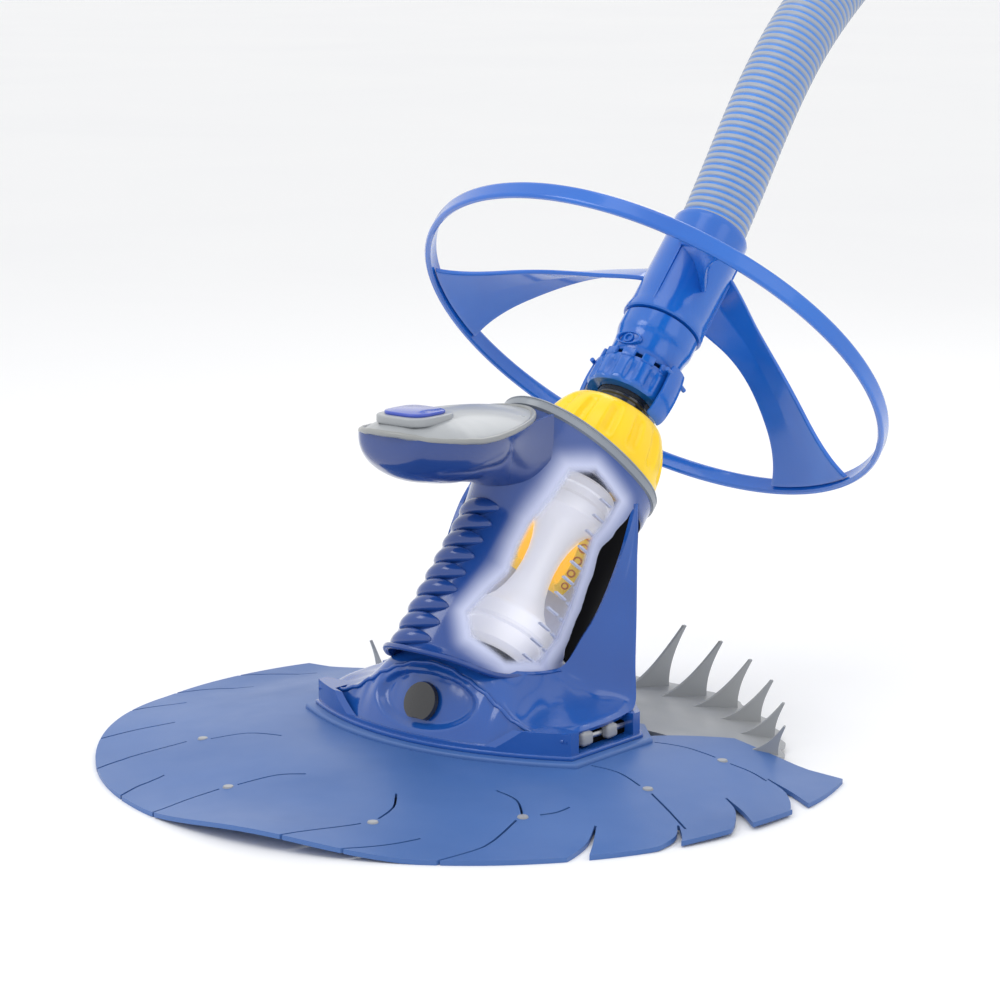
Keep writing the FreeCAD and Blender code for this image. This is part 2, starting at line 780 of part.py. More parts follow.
def build_nut_and_pipe():
    """The yellow nut with its bush, and the pipe that swivels in it."""
    base = housing_top + trim_thickness
    low = base + clearance
    shoulder = base + 13.0
    top = base + nut_height
    inside = flange_radius - 4
    bore = pipe_radius + running_gap
    profile = [(nut_bore_radius, low), (nut_radius, low), (nut_radius, base + 10),
               (nut_radius - 2, base + 20), (nut_radius - 8, base + 31),
               (nut_top_radius + 3, top - 3), (nut_top_radius, top), (bore, top),
               (bore, top - 10), (inside, shoulder + 6), (inside, shoulder),
               (nut_bore_radius, shoulder)]
    nut = turned(profile)
    for k in range(nut_flute_count):
        flute = Part.makeCylinder(2.2, nut_height, Vector(nut_radius + 0.8, 0, base + 9))
        flute.rotate(Vector(nut_radius, 0, base + 9), Y_AXIS, -16)
        flute.rotate(Vector(0, 0, 0), Z_AXIS, 360.0 * k / nut_flute_count)
        nut = nut.cut(flute)
    add("hand_nut", lean(nut))
    flange_low = base + clearance
    flange_high = flange_low + flange_thickness
    pipe = ring(pipe_radius, pipe_bore, housing_top, pipe_end)
    pipe = pipe.fuse(ring(flange_radius, pipe_bore, flange_low, flange_high))
    add("swivel_pipe", lean(pipe.removeSplitter()))
    add("swivel_bush", lean(ring(flange_radius, bore, flange_high + clearance, shoulder - 0.1)))


def build_cuff():
    """The hose cuff, its seal, the locking collar and the two levers."""
    socket = pipe_end + 1
    low = collar_low + collar_height + clearance
    tube = ring(cuff_radius, pipe_radius, low, cuff_top)
    inside = cuff_radius - 1
    shoulder_top = sleeve_low - clearance
    shoulder = turned([(inside, cuff_shoulder_low - 4), (cuff_shoulder_radius, cuff_shoulder_low),
                       (cuff_shoulder_radius, shoulder_top), (inside, shoulder_top)])
    cuff = tube.fuse(shoulder)
    cuff = cuff.cut(ring(pipe_radius + 2.2, pipe_radius - 1, low + 12, low + 15))
    cuff = cuff.fuse(ring(pipe_radius + 1, pipe_bore, socket, socket + 3))
    add("hose_cuff", lean(cuff.removeSplitter()))
    add("cuff_seal", lean(ring(pipe_radius + 2.2, pipe_radius, low + 12, low + 15)))

    collar = ring(collar_radius, pipe_radius + running_gap, collar_low, collar_low + collar_height)
    for k in range(collar_scallop_count):
        angle = 2 * math.pi * (k + 0.5) / collar_scallop_count
        x = (collar_radius + 3.4) * math.cos(angle)
        y = (collar_radius + 3.4) * math.sin(angle)
        if abs(x) < collar_radius - 3:
            collar = collar.cut(disc(5, collar_low - 1, collar_low + collar_height - 5, x, y))
    lug = block(collar_radius - 4, collar_radius + 6, -lever_width / 2 - 4, lever_width / 2 + 4,
                lever_pivot - 5, collar_low + collar_height)
    slot = block(collar_radius - 1.2, collar_radius + 20, -lever_width / 2 - clearance,
                 lever_width / 2 + clearance, collar_low - 5, collar_low + collar_height + 5)
    pin = Part.makeCylinder(lever_pin_radius, lever_width + 8,
                            Vector(collar_radius + 3.4, -lever_width / 2 - 4, lever_pivot), Y_AXIS)
    for side in (lug, mirrored(lug)):
        collar = collar.fuse(side)
    for side in (slot, mirrored(slot), pin, mirrored(pin)):
        collar = collar.cut(side)
    add("lock_collar", lean(collar.removeSplitter()))
    add("lever_pins", lean(grouped([pin, mirrored(pin)])))

    inner = collar_radius + 1.0
    lever = block(inner, inner + lever_thickness, -lever_width / 2, lever_width / 2,
                  lever_low, lever_high)
    bore = Part.makeCylinder(lever_pin_radius + running_gap, lever_width + 2,
                             Vector(collar_radius + 3.4, -lever_width / 2 - 1, lever_pivot), Y_AXIS)
    lever = lever.cut(bore)
    add("lock_lever_right", lean(lever))
    add("lock_lever_left", lean(mirrored(lever)))


# ---------------------------------------------------------------- deflector wheel


def build_wheel():
    """The deflector wheel: sleeve, three flanged spokes and the outer ring."""
    bore = cuff_radius + running_gap
    sleeve = turned([(bore, sleeve_low), (sleeve_radius + 1.6, sleeve_low),
                     (sleeve_radius + 1.6, sleeve_low + 3), (sleeve_radius, sleeve_low + 7),
                     (sleeve_radius, sleeve_high - 4), (sleeve_radius - 1, sleeve_high),
                     (bore, sleeve_high)])
    add("wheel_sleeve", lean(sleeve))
    half_t = wheel_band_thickness / 2
    half_w = wheel_band_width / 2
    rim = ring(wheel_radius, wheel_radius - 2 * half_t, wheel_height - half_w,
               wheel_height + half_w)
    add("wheel_ring", lean(rim))
    reach = wheel_radius - 2 * half_t + 1
    spread = math.radians(spoke_rim_span_deg) / 2
    for k in range(spoke_count):
        angle = spoke_first_deg + 360.0 * k / spoke_count
        root = [Vector(sleeve_radius - 1, -spoke_thickness / 2, spoke_root_low),
                Vector(sleeve_radius - 1, spoke_thickness / 2, spoke_root_low),
                Vector(sleeve_radius - 1, spoke_thickness / 2, spoke_root_high),
                Vector(sleeve_radius - 1, -spoke_thickness / 2, spoke_root_high)]
        middle_r = wheel_radius * 0.55
        middle = [Vector(middle_r, -16, 365), Vector(middle_r, 14, 371),
                  Vector(middle_r, 14, 375), Vector(middle_r, -16, 369)]
        width = reach * math.sin(spread)
        across = reach * math.cos(spread)
        rim_end = [Vector(across, -width, wheel_height - 4), Vector(across, width, wheel_height),
                   Vector(across, width, wheel_height + 4), Vector(across, -width, wheel_height)]
        wires = [Part.makePolygon(points + points[:1]) for points in (root, middle, rim_end)]
        spoke = Part.makeLoft(wires, True, True)
        spoke = spoke.cut(disc(sleeve_radius, sleeve_low, sleeve_high))
        spoke = spoke.common(disc(wheel_radius - 2 * half_t, 0, sleeve_high))
        spoke.rotate(Vector(0, 0, 0), Z_AXIS, -angle)
        add("wheel_spoke_%d" % (k + 1), lean(spoke))


# ---------------------------------------------------------------- hose


def leaning_point(along, forward):
    """A point given by its distance up the pipe axis and in front of that axis."""
    return LEAN.multVec(Vector(0, -forward, along))


def rounded_path(points):
    """Straight runs joined by tangent arcs, and the arcs' radii."""
    edges = []
    radii = []
    start = points[0]
    for before, corner, after in zip(points, points[1:], points[2:]):
        back = before - corner
        ahead = after - corner
        turn = math.pi - back.getAngle(ahead)
        shorter = min(back.Length, ahead.Length)
        radius = 0.45 * shorter / math.tan(turn / 2)
        back.normalize()
        ahead.normalize()
        enter = corner + back * (0.45 * shorter)
        leave = corner + ahead * (0.45 * shorter)
        bisector = back + ahead
        bisector.normalize()
        middle = corner + bisector * (radius / math.cos(turn / 2) - radius)
        edges.append(Part.LineSegment(start, enter).toShape())
        edges.append(Part.Arc(enter, middle, leave).toShape())
        radii.append(radius)
        start = leave
    edges.append(Part.LineSegment(start, points[-1]).toShape())
    return Part.Wire(edges), radii


def swept(path, radius, start, direction):
    """A round bar along a path."""
    circle = Part.Wire(Part.Circle(start, direction, radius).toShape())
    return path.makePipeShell([circle], True, False)


def build_hose():
    """The corrugated leader hose as a plain tube, and the cuff on its far end."""
    points = [leaning_point(along, forward) for along, forward in hose_route]
    path, radii = rounded_path(points)
    direction = points[1] - points[0]
    outer = swept(path, hose_radius, points[0], direction)
    inner = swept(path, hose_radius - hose_wall, points[0], direction)
    hose = outer.cut(inner)
    expected = math.pi * (hose_radius ** 2 - (hose_radius - hose_wall) ** 2) * path.Length
    print("hose length %.1f, volume ratio %.4f" % (path.Length, hose.Volume / expected))
    print("hose radii " + ", ".join("%.0f" % r for r in radii))
    add("hose", hose)
    axis = points[-1] - points[-2]
    axis.normalize()
    place = Placement(points[-1], Rotation(Z_AXIS, axis))
    cuff = turned([(far_cuff_bore, 0), (hose_radius, 0), (far_cuff_radius, 2),
                   (far_cuff_radius, 16), (far_cuff_radius - 2.5, 19),
                   (far_cuff_radius - 2.5, far_cuff_length), (far_cuff_bore, far_cuff_length)])
    cuff.Placement = place
    add("far_cuff", cuff)
    end = points[-1] + axis * far_cuff_length
    print("far cuff mouth", [round(v, 2) for v in end], "axis", [round(v, 5) for v in axis])


# ---------------------------------------------------------------- screws


def screw(x, y, z):
    """A pan-head screw pointing down, head at the given height."""
    head = disc(screw_head_radius, z, z + screw_head_height, x, y)
    return head.fuse(disc(screw_radius, z - screw_length, z, x, y)).removeSplitter()


def build_screws():
    """Screws that hold the foot's shoe to the chassis tray."""
    places = [(x, y) for x in (-60.0, 60.0) for y in (-14.0, 14.0)]
    bores = joined([disc(screw_radius, foot_height - 6, chassis_bottom + 3, x, y)
                    for x, y in places])
    screws = [screw(x, y, chassis_bottom + 3) for x, y in places]
    for name in ("foot_pad", "flexible_disc", "chassis_base"):
        parts[name] = parts[name].cut(bores)
    add("foot_screws", grouped(screws))


def main():
    """Build every node and write it to its own file."""
    build_foot()
    build_skirts()
    build_tray()
    build_cover()
    build_front()
    build_latches()
    build_throat()
    build_housing()
    build_trim()
    build_cassette()
    build_handle()
    build_nut_and_pipe()
    build_cuff()
    build_wheel()
    build_hose()
    build_screws()
    os.makedirs("parts", exist_ok=True)
    for name, shape in parts.items():
        shape.exportStep(os.path.join("parts", name + ".step"))
        solids = len(shape.Solids)
        print("%-18s valid %s solids %d volume %.0f" % (name, shape.isValid(), solids, shape.Volume))


main()
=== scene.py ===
import json
import logging
import math
from dataclasses import dataclass, field
from enum import Enum
from typing import Callable, Sequence

import bmesh
import bpy
from mathutils import Matrix, Vector


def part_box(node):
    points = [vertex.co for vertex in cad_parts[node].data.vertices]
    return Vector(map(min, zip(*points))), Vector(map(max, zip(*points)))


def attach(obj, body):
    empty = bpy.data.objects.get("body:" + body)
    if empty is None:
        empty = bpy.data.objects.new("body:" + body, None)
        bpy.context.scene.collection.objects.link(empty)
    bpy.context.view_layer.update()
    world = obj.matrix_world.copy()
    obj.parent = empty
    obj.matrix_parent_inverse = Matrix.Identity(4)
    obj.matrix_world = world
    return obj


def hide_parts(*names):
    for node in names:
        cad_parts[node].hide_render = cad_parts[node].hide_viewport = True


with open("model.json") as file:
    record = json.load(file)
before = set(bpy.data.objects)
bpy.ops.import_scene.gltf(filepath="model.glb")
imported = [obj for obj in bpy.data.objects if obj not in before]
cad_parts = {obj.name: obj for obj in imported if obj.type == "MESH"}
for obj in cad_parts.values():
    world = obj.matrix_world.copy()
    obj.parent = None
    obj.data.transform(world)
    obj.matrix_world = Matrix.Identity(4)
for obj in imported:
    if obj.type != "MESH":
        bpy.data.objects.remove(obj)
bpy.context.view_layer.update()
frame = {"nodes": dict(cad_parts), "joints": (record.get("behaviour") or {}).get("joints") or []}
LOG = logging.getLogger("pool_cleaner")

MM = 0.001
FULL_TURN = 2 * math.pi
AXIS_POINT = 0.01
Rule = Callable[[float, float], Vector]
Colour = tuple[float, float, float]


# ---------------------------------------------------------------- frame


def lean_place() -> Matrix:
    """The place of the leaning frame, whose Z runs up the pipe axis, with sizes in millimetres.

    Returns:
        The matrix that takes leaning millimetres to the row frame's metres.
    """
    swivel = next(joint for joint in frame["joints"] if joint["name"] == "hose_swivel")
    up = Vector(swivel["axis"]).normalized()
    side = Vector((1.0, 0.0, 0.0))
    back = up.cross(side)
    turn = Matrix((side, back, up)).transposed().to_4x4()
    return Matrix.Translation(Vector(swivel["pos_m"])) @ turn @ Matrix.Scale(MM, 4)


LEANING = lean_place()
UPRIGHT = Matrix.Scale(MM, 4)

CHASSIS_CORNER = -34.0
CHASSIS_SIDE_END = 37.0
CHASSIS_CORNER_CUT = 25.0


def leaning(side: float, forward: float, along: float) -> Vector:
    """A point in upright millimetres from leaning sizes.

    Args:
        side: Distance towards +X.
        forward: Distance in front of the pipe axis.
        along: Distance up the pipe axis from the floor.

    Returns:
        The point in the row frame's axes, in millimetres.
    """
    return (LEANING @ Vector((side, -forward, along))) / MM


# ---------------------------------------------------------------- curves and blends


def smooth(low: float, high: float, value: float) -> float:
    """A soft step from 0 at low to 1 at high.

    Args:
        low: Value at which the step starts.
        high: Value at which it ends.
        value: Where to read it.

    Returns:
        The step's height.
    """
    share = min(max((value - low) / (high - low), 0.0), 1.0)
    return share * share * (3.0 - 2.0 * share)


def through(stations: Sequence[Sequence[float]], share: float) -> list[float]:
    """A smooth curve through stations, read at a share of its way.

    Args:
        stations: Points of any equal size, evenly spread along the curve.
        share: 0 at the first station, 1 at the last.

    Returns:
        The point there.
    """
    last = len(stations) - 1
    place = min(max(share, 0.0), 1.0) * last
    index = min(int(place), last - 1)
    t = place - index
    around = [stations[min(max(index + step, 0), last)] for step in (-1, 0, 1, 2)]
    found = []
    for a, b, c, d in zip(*around):
        bend = 2 * b + (c - a) * t + (2 * a - 5 * b + 4 * c - d) * t ** 2
        found.append(0.5 * (bend + (3 * b - a - 3 * c + d) * t ** 3))
    return found


def at_height(stations: Sequence[Sequence[float]], place: float) -> float:
    """A value read from (place, value) stations with soft bends.

    Args:
        stations: Pairs in rising order of place.
        place: Where to read.

    Returns:
        The value there.
    """
    if place <= stations[0][0]:
        return stations[0][1]
    for (low, a), (high, b) in zip(stations, stations[1:]):
        if place <= high:
            return a + (b - a) * smooth(low, high, place)
    return stations[-1][1]


# ---------------------------------------------------------------- meshes


def surface(rule: Rule, across: int, along: int, merge: float = 0.02) -> bmesh.types.BMesh:
    """A grid whose points a rule places, with its touching edges joined.

    Args:
        rule: Gives a point from two shares between 0 and 1.
        across: Faces along the first share.
        along: Faces along the second.
        merge: Distance at which points join.

    Returns:
        The open or closed skin.
    """
    mesh = bmesh.new()
    bmesh.ops.create_grid(mesh, x_segments=across, y_segments=along, size=0.5)
    for vert in mesh.verts:
        vert.co = rule(vert.co.x + 0.5, vert.co.y + 0.5)
    bmesh.ops.remove_doubles(mesh, verts=mesh.verts[:], dist=merge)
    bmesh.ops.recalc_face_normals(mesh, faces=mesh.faces[:])
    return mesh


def thickened(mesh: bmesh.types.BMesh, wall: float) -> bmesh.types.BMesh:
    """Give a skin a wall.

    Args:
        mesh: The skin, with its faces the right way round.
        wall: Thickness, inwards where it is positive.

    Returns:
        The same mesh as a shell.
    """
    bmesh.ops.solidify(mesh, geom=mesh.faces[:], thickness=wall)
    bmesh.ops.recalc_face_normals(mesh, faces=mesh.faces[:])
    return mesh


def spun(profile: Sequence[tuple[float, float]], steps: int = 96) -> bmesh.types.BMesh:
    """A turned piece about Z from (radius, height) points, closed into a ring.

    Args:
        profile: The outline, in order, without its first point again.
        steps: Facets round the turn.

    Returns:
        The turned mesh.
    """
    mesh = bmesh.new()
    verts = [mesh.verts.new((r, 0.0, z)) for r, z in profile]
    edges = [mesh.edges.new((a, b)) for a, b in zip(verts, verts[1:] + verts[:1])]
    bmesh.ops.spin(mesh, geom=verts + edges, cent=(0, 0, 0), axis=(0, 0, 1),
                   angle=FULL_TURN, steps=steps, use_merge=True)
    bmesh.ops.remove_doubles(mesh, verts=mesh.verts[:], dist=0.01)
    bmesh.ops.recalc_face_normals(mesh, faces=mesh.faces[:])
    return mesh


def softened(mesh: bmesh.types.BMesh, width: float, segments: int = 2,
             sharper_than: float = 40.0) -> bmesh.types.BMesh:
    """Bevel a mesh's sharp edges.

    Args:
        mesh: The mesh to bevel.
        width: Width of the bevel.
        segments: Facets across it.
        sharper_than: Smallest turn, in degrees, that is bevelled.

    Returns:
        The same mesh.
    """
    limit = math.radians(sharper_than)
    edges = [e for e in mesh.edges if len(e.link_faces) == 2 and e.calc_face_angle(0) > limit]
    bmesh.ops.bevel(mesh, geom=edges, offset=width, affect="EDGES", segments=segments,
                    profile=0.5, material=-1, clamp_overlap=True)
    return mesh


def rounded_block(size: Vector, centre: Vector, radius: float,
                  turn: Matrix = Matrix.Identity(4)) -> bmesh.types.BMesh:
    """A block with rounded edges.

    Args:
        size: Its three sizes.
        centre: Its middle.
        radius: The edges' rounding.
        turn: A turn about the world's origin, made last.

    Returns:
        The block.
    """
    mesh = bmesh.new()
    bmesh.ops.create_cube(mesh, size=1.0)
    bmesh.ops.scale(mesh, verts=mesh.verts[:], vec=size)
    softened(mesh, radius, 3)
    bmesh.ops.translate(mesh, verts=mesh.verts[:], vec=centre)
    mesh.transform(turn)
    return mesh


def outline_prism(points: Sequence[Vector], rise: Vector) -> bmesh.types.BMesh:
    """A flat outline drawn along a direction.

    Args:
        points: The outline, in order.
        rise: How far and which way it is drawn.

    Returns:
        The closed prism.
    """
    mesh = bmesh.new()
    base = mesh.faces.new([mesh.verts.new(point) for point in points])
    drawn = bmesh.ops.extrude_face_region(mesh, geom=[base])
    moved = [item for item in drawn["geom"] if isinstance(item, bmesh.types.BMVert)]
    bmesh.ops.translate(mesh, verts=moved, vec=rise)
    bmesh.ops.recalc_face_normals(mesh, faces=mesh.faces[:])
    return mesh


def gathered(meshes: Sequence[bmesh.types.BMesh]) -> bmesh.types.BMesh:
    """Put several meshes into the first one.

    Args:
        meshes: The meshes; all but the first are used up.

    Returns:
        The first mesh, holding them all.
    """
    whole = meshes[0]
    for other in meshes[1:]:
        holder = bpy.data.meshes.new("holder")
        other.to_mesh(holder)
        other.free()
        whole.from_mesh(holder)
        bpy.data.meshes.remove(holder)
    return whole


def evenly(low: float, high: float, steps: int) -> list[float]:
    """Values spread evenly from low to high, both included.

    Args:
        low: The first value.
        high: The last value.
        steps: Steps between them.

    Returns:
        The values.
    """
    return [low + (high - low) * step / steps for step in range(steps + 1)]


def round_bar(points: Sequence[Vector], radius: float, closed: bool = False,
              sides: int = 10) -> bmesh.types.BMesh:
    """A round bar along a line of points.

    Args:
        points: The bar's middle line.
        radius: Its radius.
        closed: Whether the line returns to its start.
        sides: Facets round it.

    Returns:
        The bar, with its ends closed.
    """
    count = len(points)
    steps = count if closed else count - 1

    def rule(u: float, v: float) -> Vector:
        """A point of the bar's skin: u runs round it and v along it."""
        index = round(v * steps)
        here = points[index % count]
        ahead = points[(index + 1) % count] if closed or index < steps else here
        behind = points[(index - 1) % count] if closed or index > 0 else here
        run = (ahead - behind).normalized()
        side = run.orthogonal() if abs(run.z) > 0.9 else run.cross(Vector((0, 0, 1)))
        side.normalize()
        turn = FULL_TURN * u
        return here + radius * (side * math.cos(turn) + run.cross(side) * math.sin(turn))

    mesh = surface(rule, sides, steps)
    rims = [edge for edge in mesh.edges if edge.is_boundary]
    bmesh.ops.holes_fill(mesh, edges=rims, sides=0)
    bmesh.ops.recalc_face_normals(mesh, faces=mesh.faces[:])
    return mesh


# ---------------------------------------------------------------- finishes


COAT_ROUGHNESS = 0.08
POLISHED, WORN = 0.8, 1.6
FLOW_LOW, FLOW_HIGH = 0.3, 0.7
# Near-black painted shade for the hollow between the housing and the side wall.
PAINTED_SHADE_BLACK = (0.002, 0.002, 0.003, 1.0)
UNLIT = (0.0, 0.0, 0.0, 1.0)
# Emission strength of the painted glow along the clear pane's halo.
PAINTED_HALO_GLOW = 0.12


class Gloss(Enum):
    """How polished a moulding is: roughness, and weight of its clear coat."""

    DULL = (0.62, 0.0)
    SATIN = (0.42, 0.05)
    SOFT = (0.30, 0.15)
    HIGH = (0.17, 0.45)


def grain_group() -> bpy.types.NodeTree:
    """The moulded surface: fine grain, flow tone and wipe marks.

    Returns:
        The node group, made once.
    """
    name = "moulded_surface"
    if name in bpy.data.node_groups:
        return bpy.data.node_groups[name]
    tree = bpy.data.node_groups.new(name, "ShaderNodeTree")
    sockets = tree.interface
    sockets.new_socket("Place", in_out="INPUT", socket_type="NodeSocketVector")
    sockets.new_socket("Grain Scale", in_out="INPUT", socket_type="NodeSocketFloat")
    sockets.new_socket("Flow Scale", in_out="INPUT", socket_type="NodeSocketFloat")
    for out in ("Tone", "Polish", "Height"):
        sockets.new_socket(out, in_out="OUTPUT", socket_type="NodeSocketFloat")
    given = tree.nodes.new("NodeGroupInput")
    made = tree.nodes.new("NodeGroupOutput")
    flow = tree.nodes.new("ShaderNodeTexNoise")
    flow.inputs["Detail"].default_value = 4.0
    flow.inputs["Distortion"].default_value = 0.6
    grain = tree.nodes.new("ShaderNodeTexNoise")
    grain.inputs["Detail"].default_value = 6.0
    wipe = tree.nodes.new("ShaderNodeTexNoise")
    wipe.inputs["Scale"].default_value = 22.0
    wipe.inputs["Roughness"].default_value = 0.7
    for node in (flow, grain, wipe):
        tree.links.new(given.outputs["Place"], node.inputs["Vector"])
    tree.links.new(given.outputs["Flow Scale"], flow.inputs["Scale"])
    tree.links.new(given.outputs["Grain Scale"], grain.inputs["Scale"])
    blend = tree.nodes.new("ShaderNodeMath")
    blend.operation = "MULTIPLY"
    tree.links.new(flow.outputs["Fac"], blend.inputs[0])
    tree.links.new(wipe.outputs["Fac"], blend.inputs[1])
    tree.links.new(flow.outputs["Fac"], made.inputs["Tone"])
    tree.links.new(blend.outputs[0], made.inputs["Polish"])
    tree.links.new(grain.outputs["Fac"], made.inputs["Height"])
    return tree


def colour_mix(tree: bpy.types.NodeTree) -> tuple[bpy.types.NodeSocket, ...]:
    """Add a node that mixes two colours.

    Args:
        tree: The nodes it joins.

    Returns:
        Its factor, first colour and second colour inputs, and the mixed colour.
    """
    mix = tree.nodes.new("ShaderNodeMix")
    mix.data_type = "RGBA"
    colours = [socket for socket in mix.inputs if socket.type == "RGBA"]
    mixed = next(socket for socket in mix.outputs if socket.type == "RGBA")
    return mix.inputs[0], colours[0], colours[1], mixed


@dataclass(frozen=True)
class Moulding:
    """A moulded plastic or rubber finish.

    Attributes:
        name: What the finish is called, in the material's title.
        colour: Its main colour, linear.
        shade: The colour it drifts to.
        gloss: Its polish.
        grain: Scale of the fine grain, per metre.
        depth: How deep the grain's bumps are, in metres.
        flow: Scale of the drift in tone, per metre.
        alpha: How much of what is behind it hides.
        painted_glow: Strength of a painted glow: light the finish gives off in its own colour,
            though it is no lamp.
        metal: 1 for bare metal.
        mirror: How strongly it mirrors its surroundings.
    """

    name: str
    colour: Colour
    shade: Colour
    gloss: Gloss = Gloss.SOFT
    grain: float = 900.0
    depth: float = 0.00004
    flow: float = 9.0
    alpha: float = 1.0
    painted_glow: float = 0.0
    metal: float = 0.0
    mirror: float = 0.5

    def material(self) -> bpy.types.Material:
        """The finish as a material, made once.

        Returns:
            The material, titled after the finish.
        """
        title = "finish_" + self.name
        if title in bpy.data.materials:
            return bpy.data.materials[title]
        material = bpy.data.materials.new(title)
        material.use_nodes = True
        tree = material.node_tree
        shader = tree.nodes["Principled BSDF"]
        place = tree.nodes.new("ShaderNodeTexCoord")
        group = tree.nodes.new("ShaderNodeGroup")
        group.node_tree = grain_group()
        group.inputs["Grain Scale"].default_value = self.grain
        group.inputs["Flow Scale"].default_value = self.flow
        tree.links.new(place.outputs["Object"], group.inputs["Place"])
        tone = tree.nodes.new("ShaderNodeMapRange")
        tone.inputs["From Min"].default_value = FLOW_LOW
        tone.inputs["From Max"].default_value = FLOW_HIGH
        tree.links.new(group.outputs["Tone"], tone.inputs["Value"])
        factor, first, second, mixed = colour_mix(tree)
        first.default_value = (*self.colour, 1.0)
        second.default_value = (*self.shade, 1.0)
        tree.links.new(tone.outputs["Result"], factor)
        tree.links.new(self.tinted(tree, mixed), shader.inputs["Base Color"])
        roughness, coat = self.gloss.value
        polish = tree.nodes.new("ShaderNodeMapRange")
        polish.inputs["To Min"].default_value = roughness * POLISHED
        polish.inputs["To Max"].default_value = roughness * WORN
        tree.links.new(group.outputs["Polish"], polish.inputs["Value"])
        tree.links.new(polish.outputs["Result"], shader.inputs["Roughness"])
        bump = tree.nodes.new("ShaderNodeBump")
        bump.inputs["Distance"].default_value = self.depth
        tree.links.new(group.outputs["Height"], bump.inputs["Height"])
        tree.links.new(bump.outputs["Normal"], shader.inputs["Normal"])
        shader.inputs["Coat Weight"].default_value = coat
        shader.inputs["Coat Roughness"].default_value = COAT_ROUGHNESS
        shader.inputs["Metallic"].default_value = self.metal
        shader.inputs["Specular IOR Level"].default_value = self.mirror
        shader.inputs["Alpha"].default_value = self.alpha
        # Painted glow: the finish gives off light in its own colour.
        if self.painted_glow:
            shader.inputs["Emission Color"].default_value = (*self.colour, 1.0)
            shader.inputs["Emission Strength"].default_value = self.painted_glow
        self.dress(tree, shader)
        return material

    def tinted(self, tree: bpy.types.NodeTree,
               colour: bpy.types.NodeSocket) -> bpy.types.NodeSocket:
        """The base colour; a plain moulding adds nothing to it."""
        return colour

    def dress(self, tree: bpy.types.NodeTree, shader: bpy.types.Node) -> None:
        """Finish the material; a plain moulding needs nothing more."""


@dataclass(frozen=True)
class BandedMoulding(Moulding):
    """A moulding that takes a second colour where a mesh attribute is 1.

    Attributes:
        attribute: The mesh attribute, 0 to 1.
        second: The colour at 1.
    """

    attribute: str = "groove"
    second: Colour = (0.2, 0.5, 1.0)

    def tinted(self, tree: bpy.types.NodeTree,
               colour: bpy.types.NodeSocket) -> bpy.types.NodeSocket:
        """The base colour with the second colour laid over it.

        Args:
            tree: The material's nodes.
            colour: The colour made so far.

        Returns:
            The mixed colour's socket.
        """
        band = tree.nodes.new("ShaderNodeAttribute")
        band.attribute_name = self.attribute
        factor, first, second, mixed = colour_mix(tree)
        second.default_value = (*self.second, 1.0)
        tree.links.new(colour, first)
        tree.links.new(band.outputs["Fac"], factor)
        return mixed


@dataclass(frozen=True)
class ClearingMoulding(BandedMoulding):
    """A moulding that fades to a clear pane, with a pale frosted halo and a painted glow round it,
    and painted black shade in the hollow beside it.

    Attributes:
        opening: The attribute, 0 where solid and 1 where clear.
        faintest: The alpha where it is clear.
        shadowed: The attribute, 1 in the hollow, where shade is painted black.
    """

    opening: str = "clear"
    faintest: float = 0.04
    shadowed: str = "hollow_painted_shade"

    def tinted(self, tree: bpy.types.NodeTree,
               colour: bpy.types.NodeSocket) -> bpy.types.NodeSocket:
        """The banded colour, with shade painted black in the hollow.

        Args:
            tree: The material's nodes.
            colour: The colour made so far.

        Returns:
            The mixed colour's socket.
        """
        factor, first, second, mixed = colour_mix(tree)
        # Painted shade: the hollow's attribute darkens the colour to near-black.
        second.default_value = PAINTED_SHADE_BLACK
        dark = tree.nodes.new("ShaderNodeAttribute")
        dark.attribute_name = self.shadowed
        tree.links.new(super().tinted(tree, colour), first)
        tree.links.new(dark.outputs["Fac"], factor)
        return mixed

    def dress(self, tree: bpy.types.NodeTree, shader: bpy.types.Node) -> None:
        """Lead the opening into the alpha, and paint a glow along its edge.

        Args:
            tree: The material's nodes.
            shader: Its shader.
        """
        clear = tree.nodes.new("ShaderNodeAttribute")
        clear.attribute_name = self.opening
        fade = tree.nodes.new("ShaderNodeMapRange")
        fade.inputs["To Min"].default_value = 1.0
        fade.inputs["To Max"].default_value = self.faintest
        tree.links.new(clear.outputs["Fac"], fade.inputs["Value"])
        tree.links.new(fade.outputs["Result"], shader.inputs["Alpha"])
        painted_glow = tree.nodes.new("ShaderNodeAttribute")
        painted_glow.attribute_name = self.attribute
        factor, first, second, light = colour_mix(tree)
        first.default_value = UNLIT
        second.default_value = (*self.second, 1.0)
        tree.links.new(painted_glow.outputs["Fac"], factor)
        tree.links.new(light, shader.inputs["Emission Color"])
        shader.inputs["Emission Strength"].default_value = PAINTED_HALO_GLOW


SKIRT = Moulding("skirt_blue", (0.062, 0.155, 0.42), (0.045, 0.125, 0.36), Gloss.SATIN,
                 grain=1400.0, depth=0.00008, flow=6.0)
FINS = Moulding("fin_grey", (0.36, 0.37, 0.38), (0.26, 0.28, 0.31), Gloss.SATIN,
                grain=1200.0, depth=0.00006)
CHASSIS = Moulding("chassis_blue", (0.010, 0.080, 0.36), (0.014, 0.100, 0.42), Gloss.HIGH)
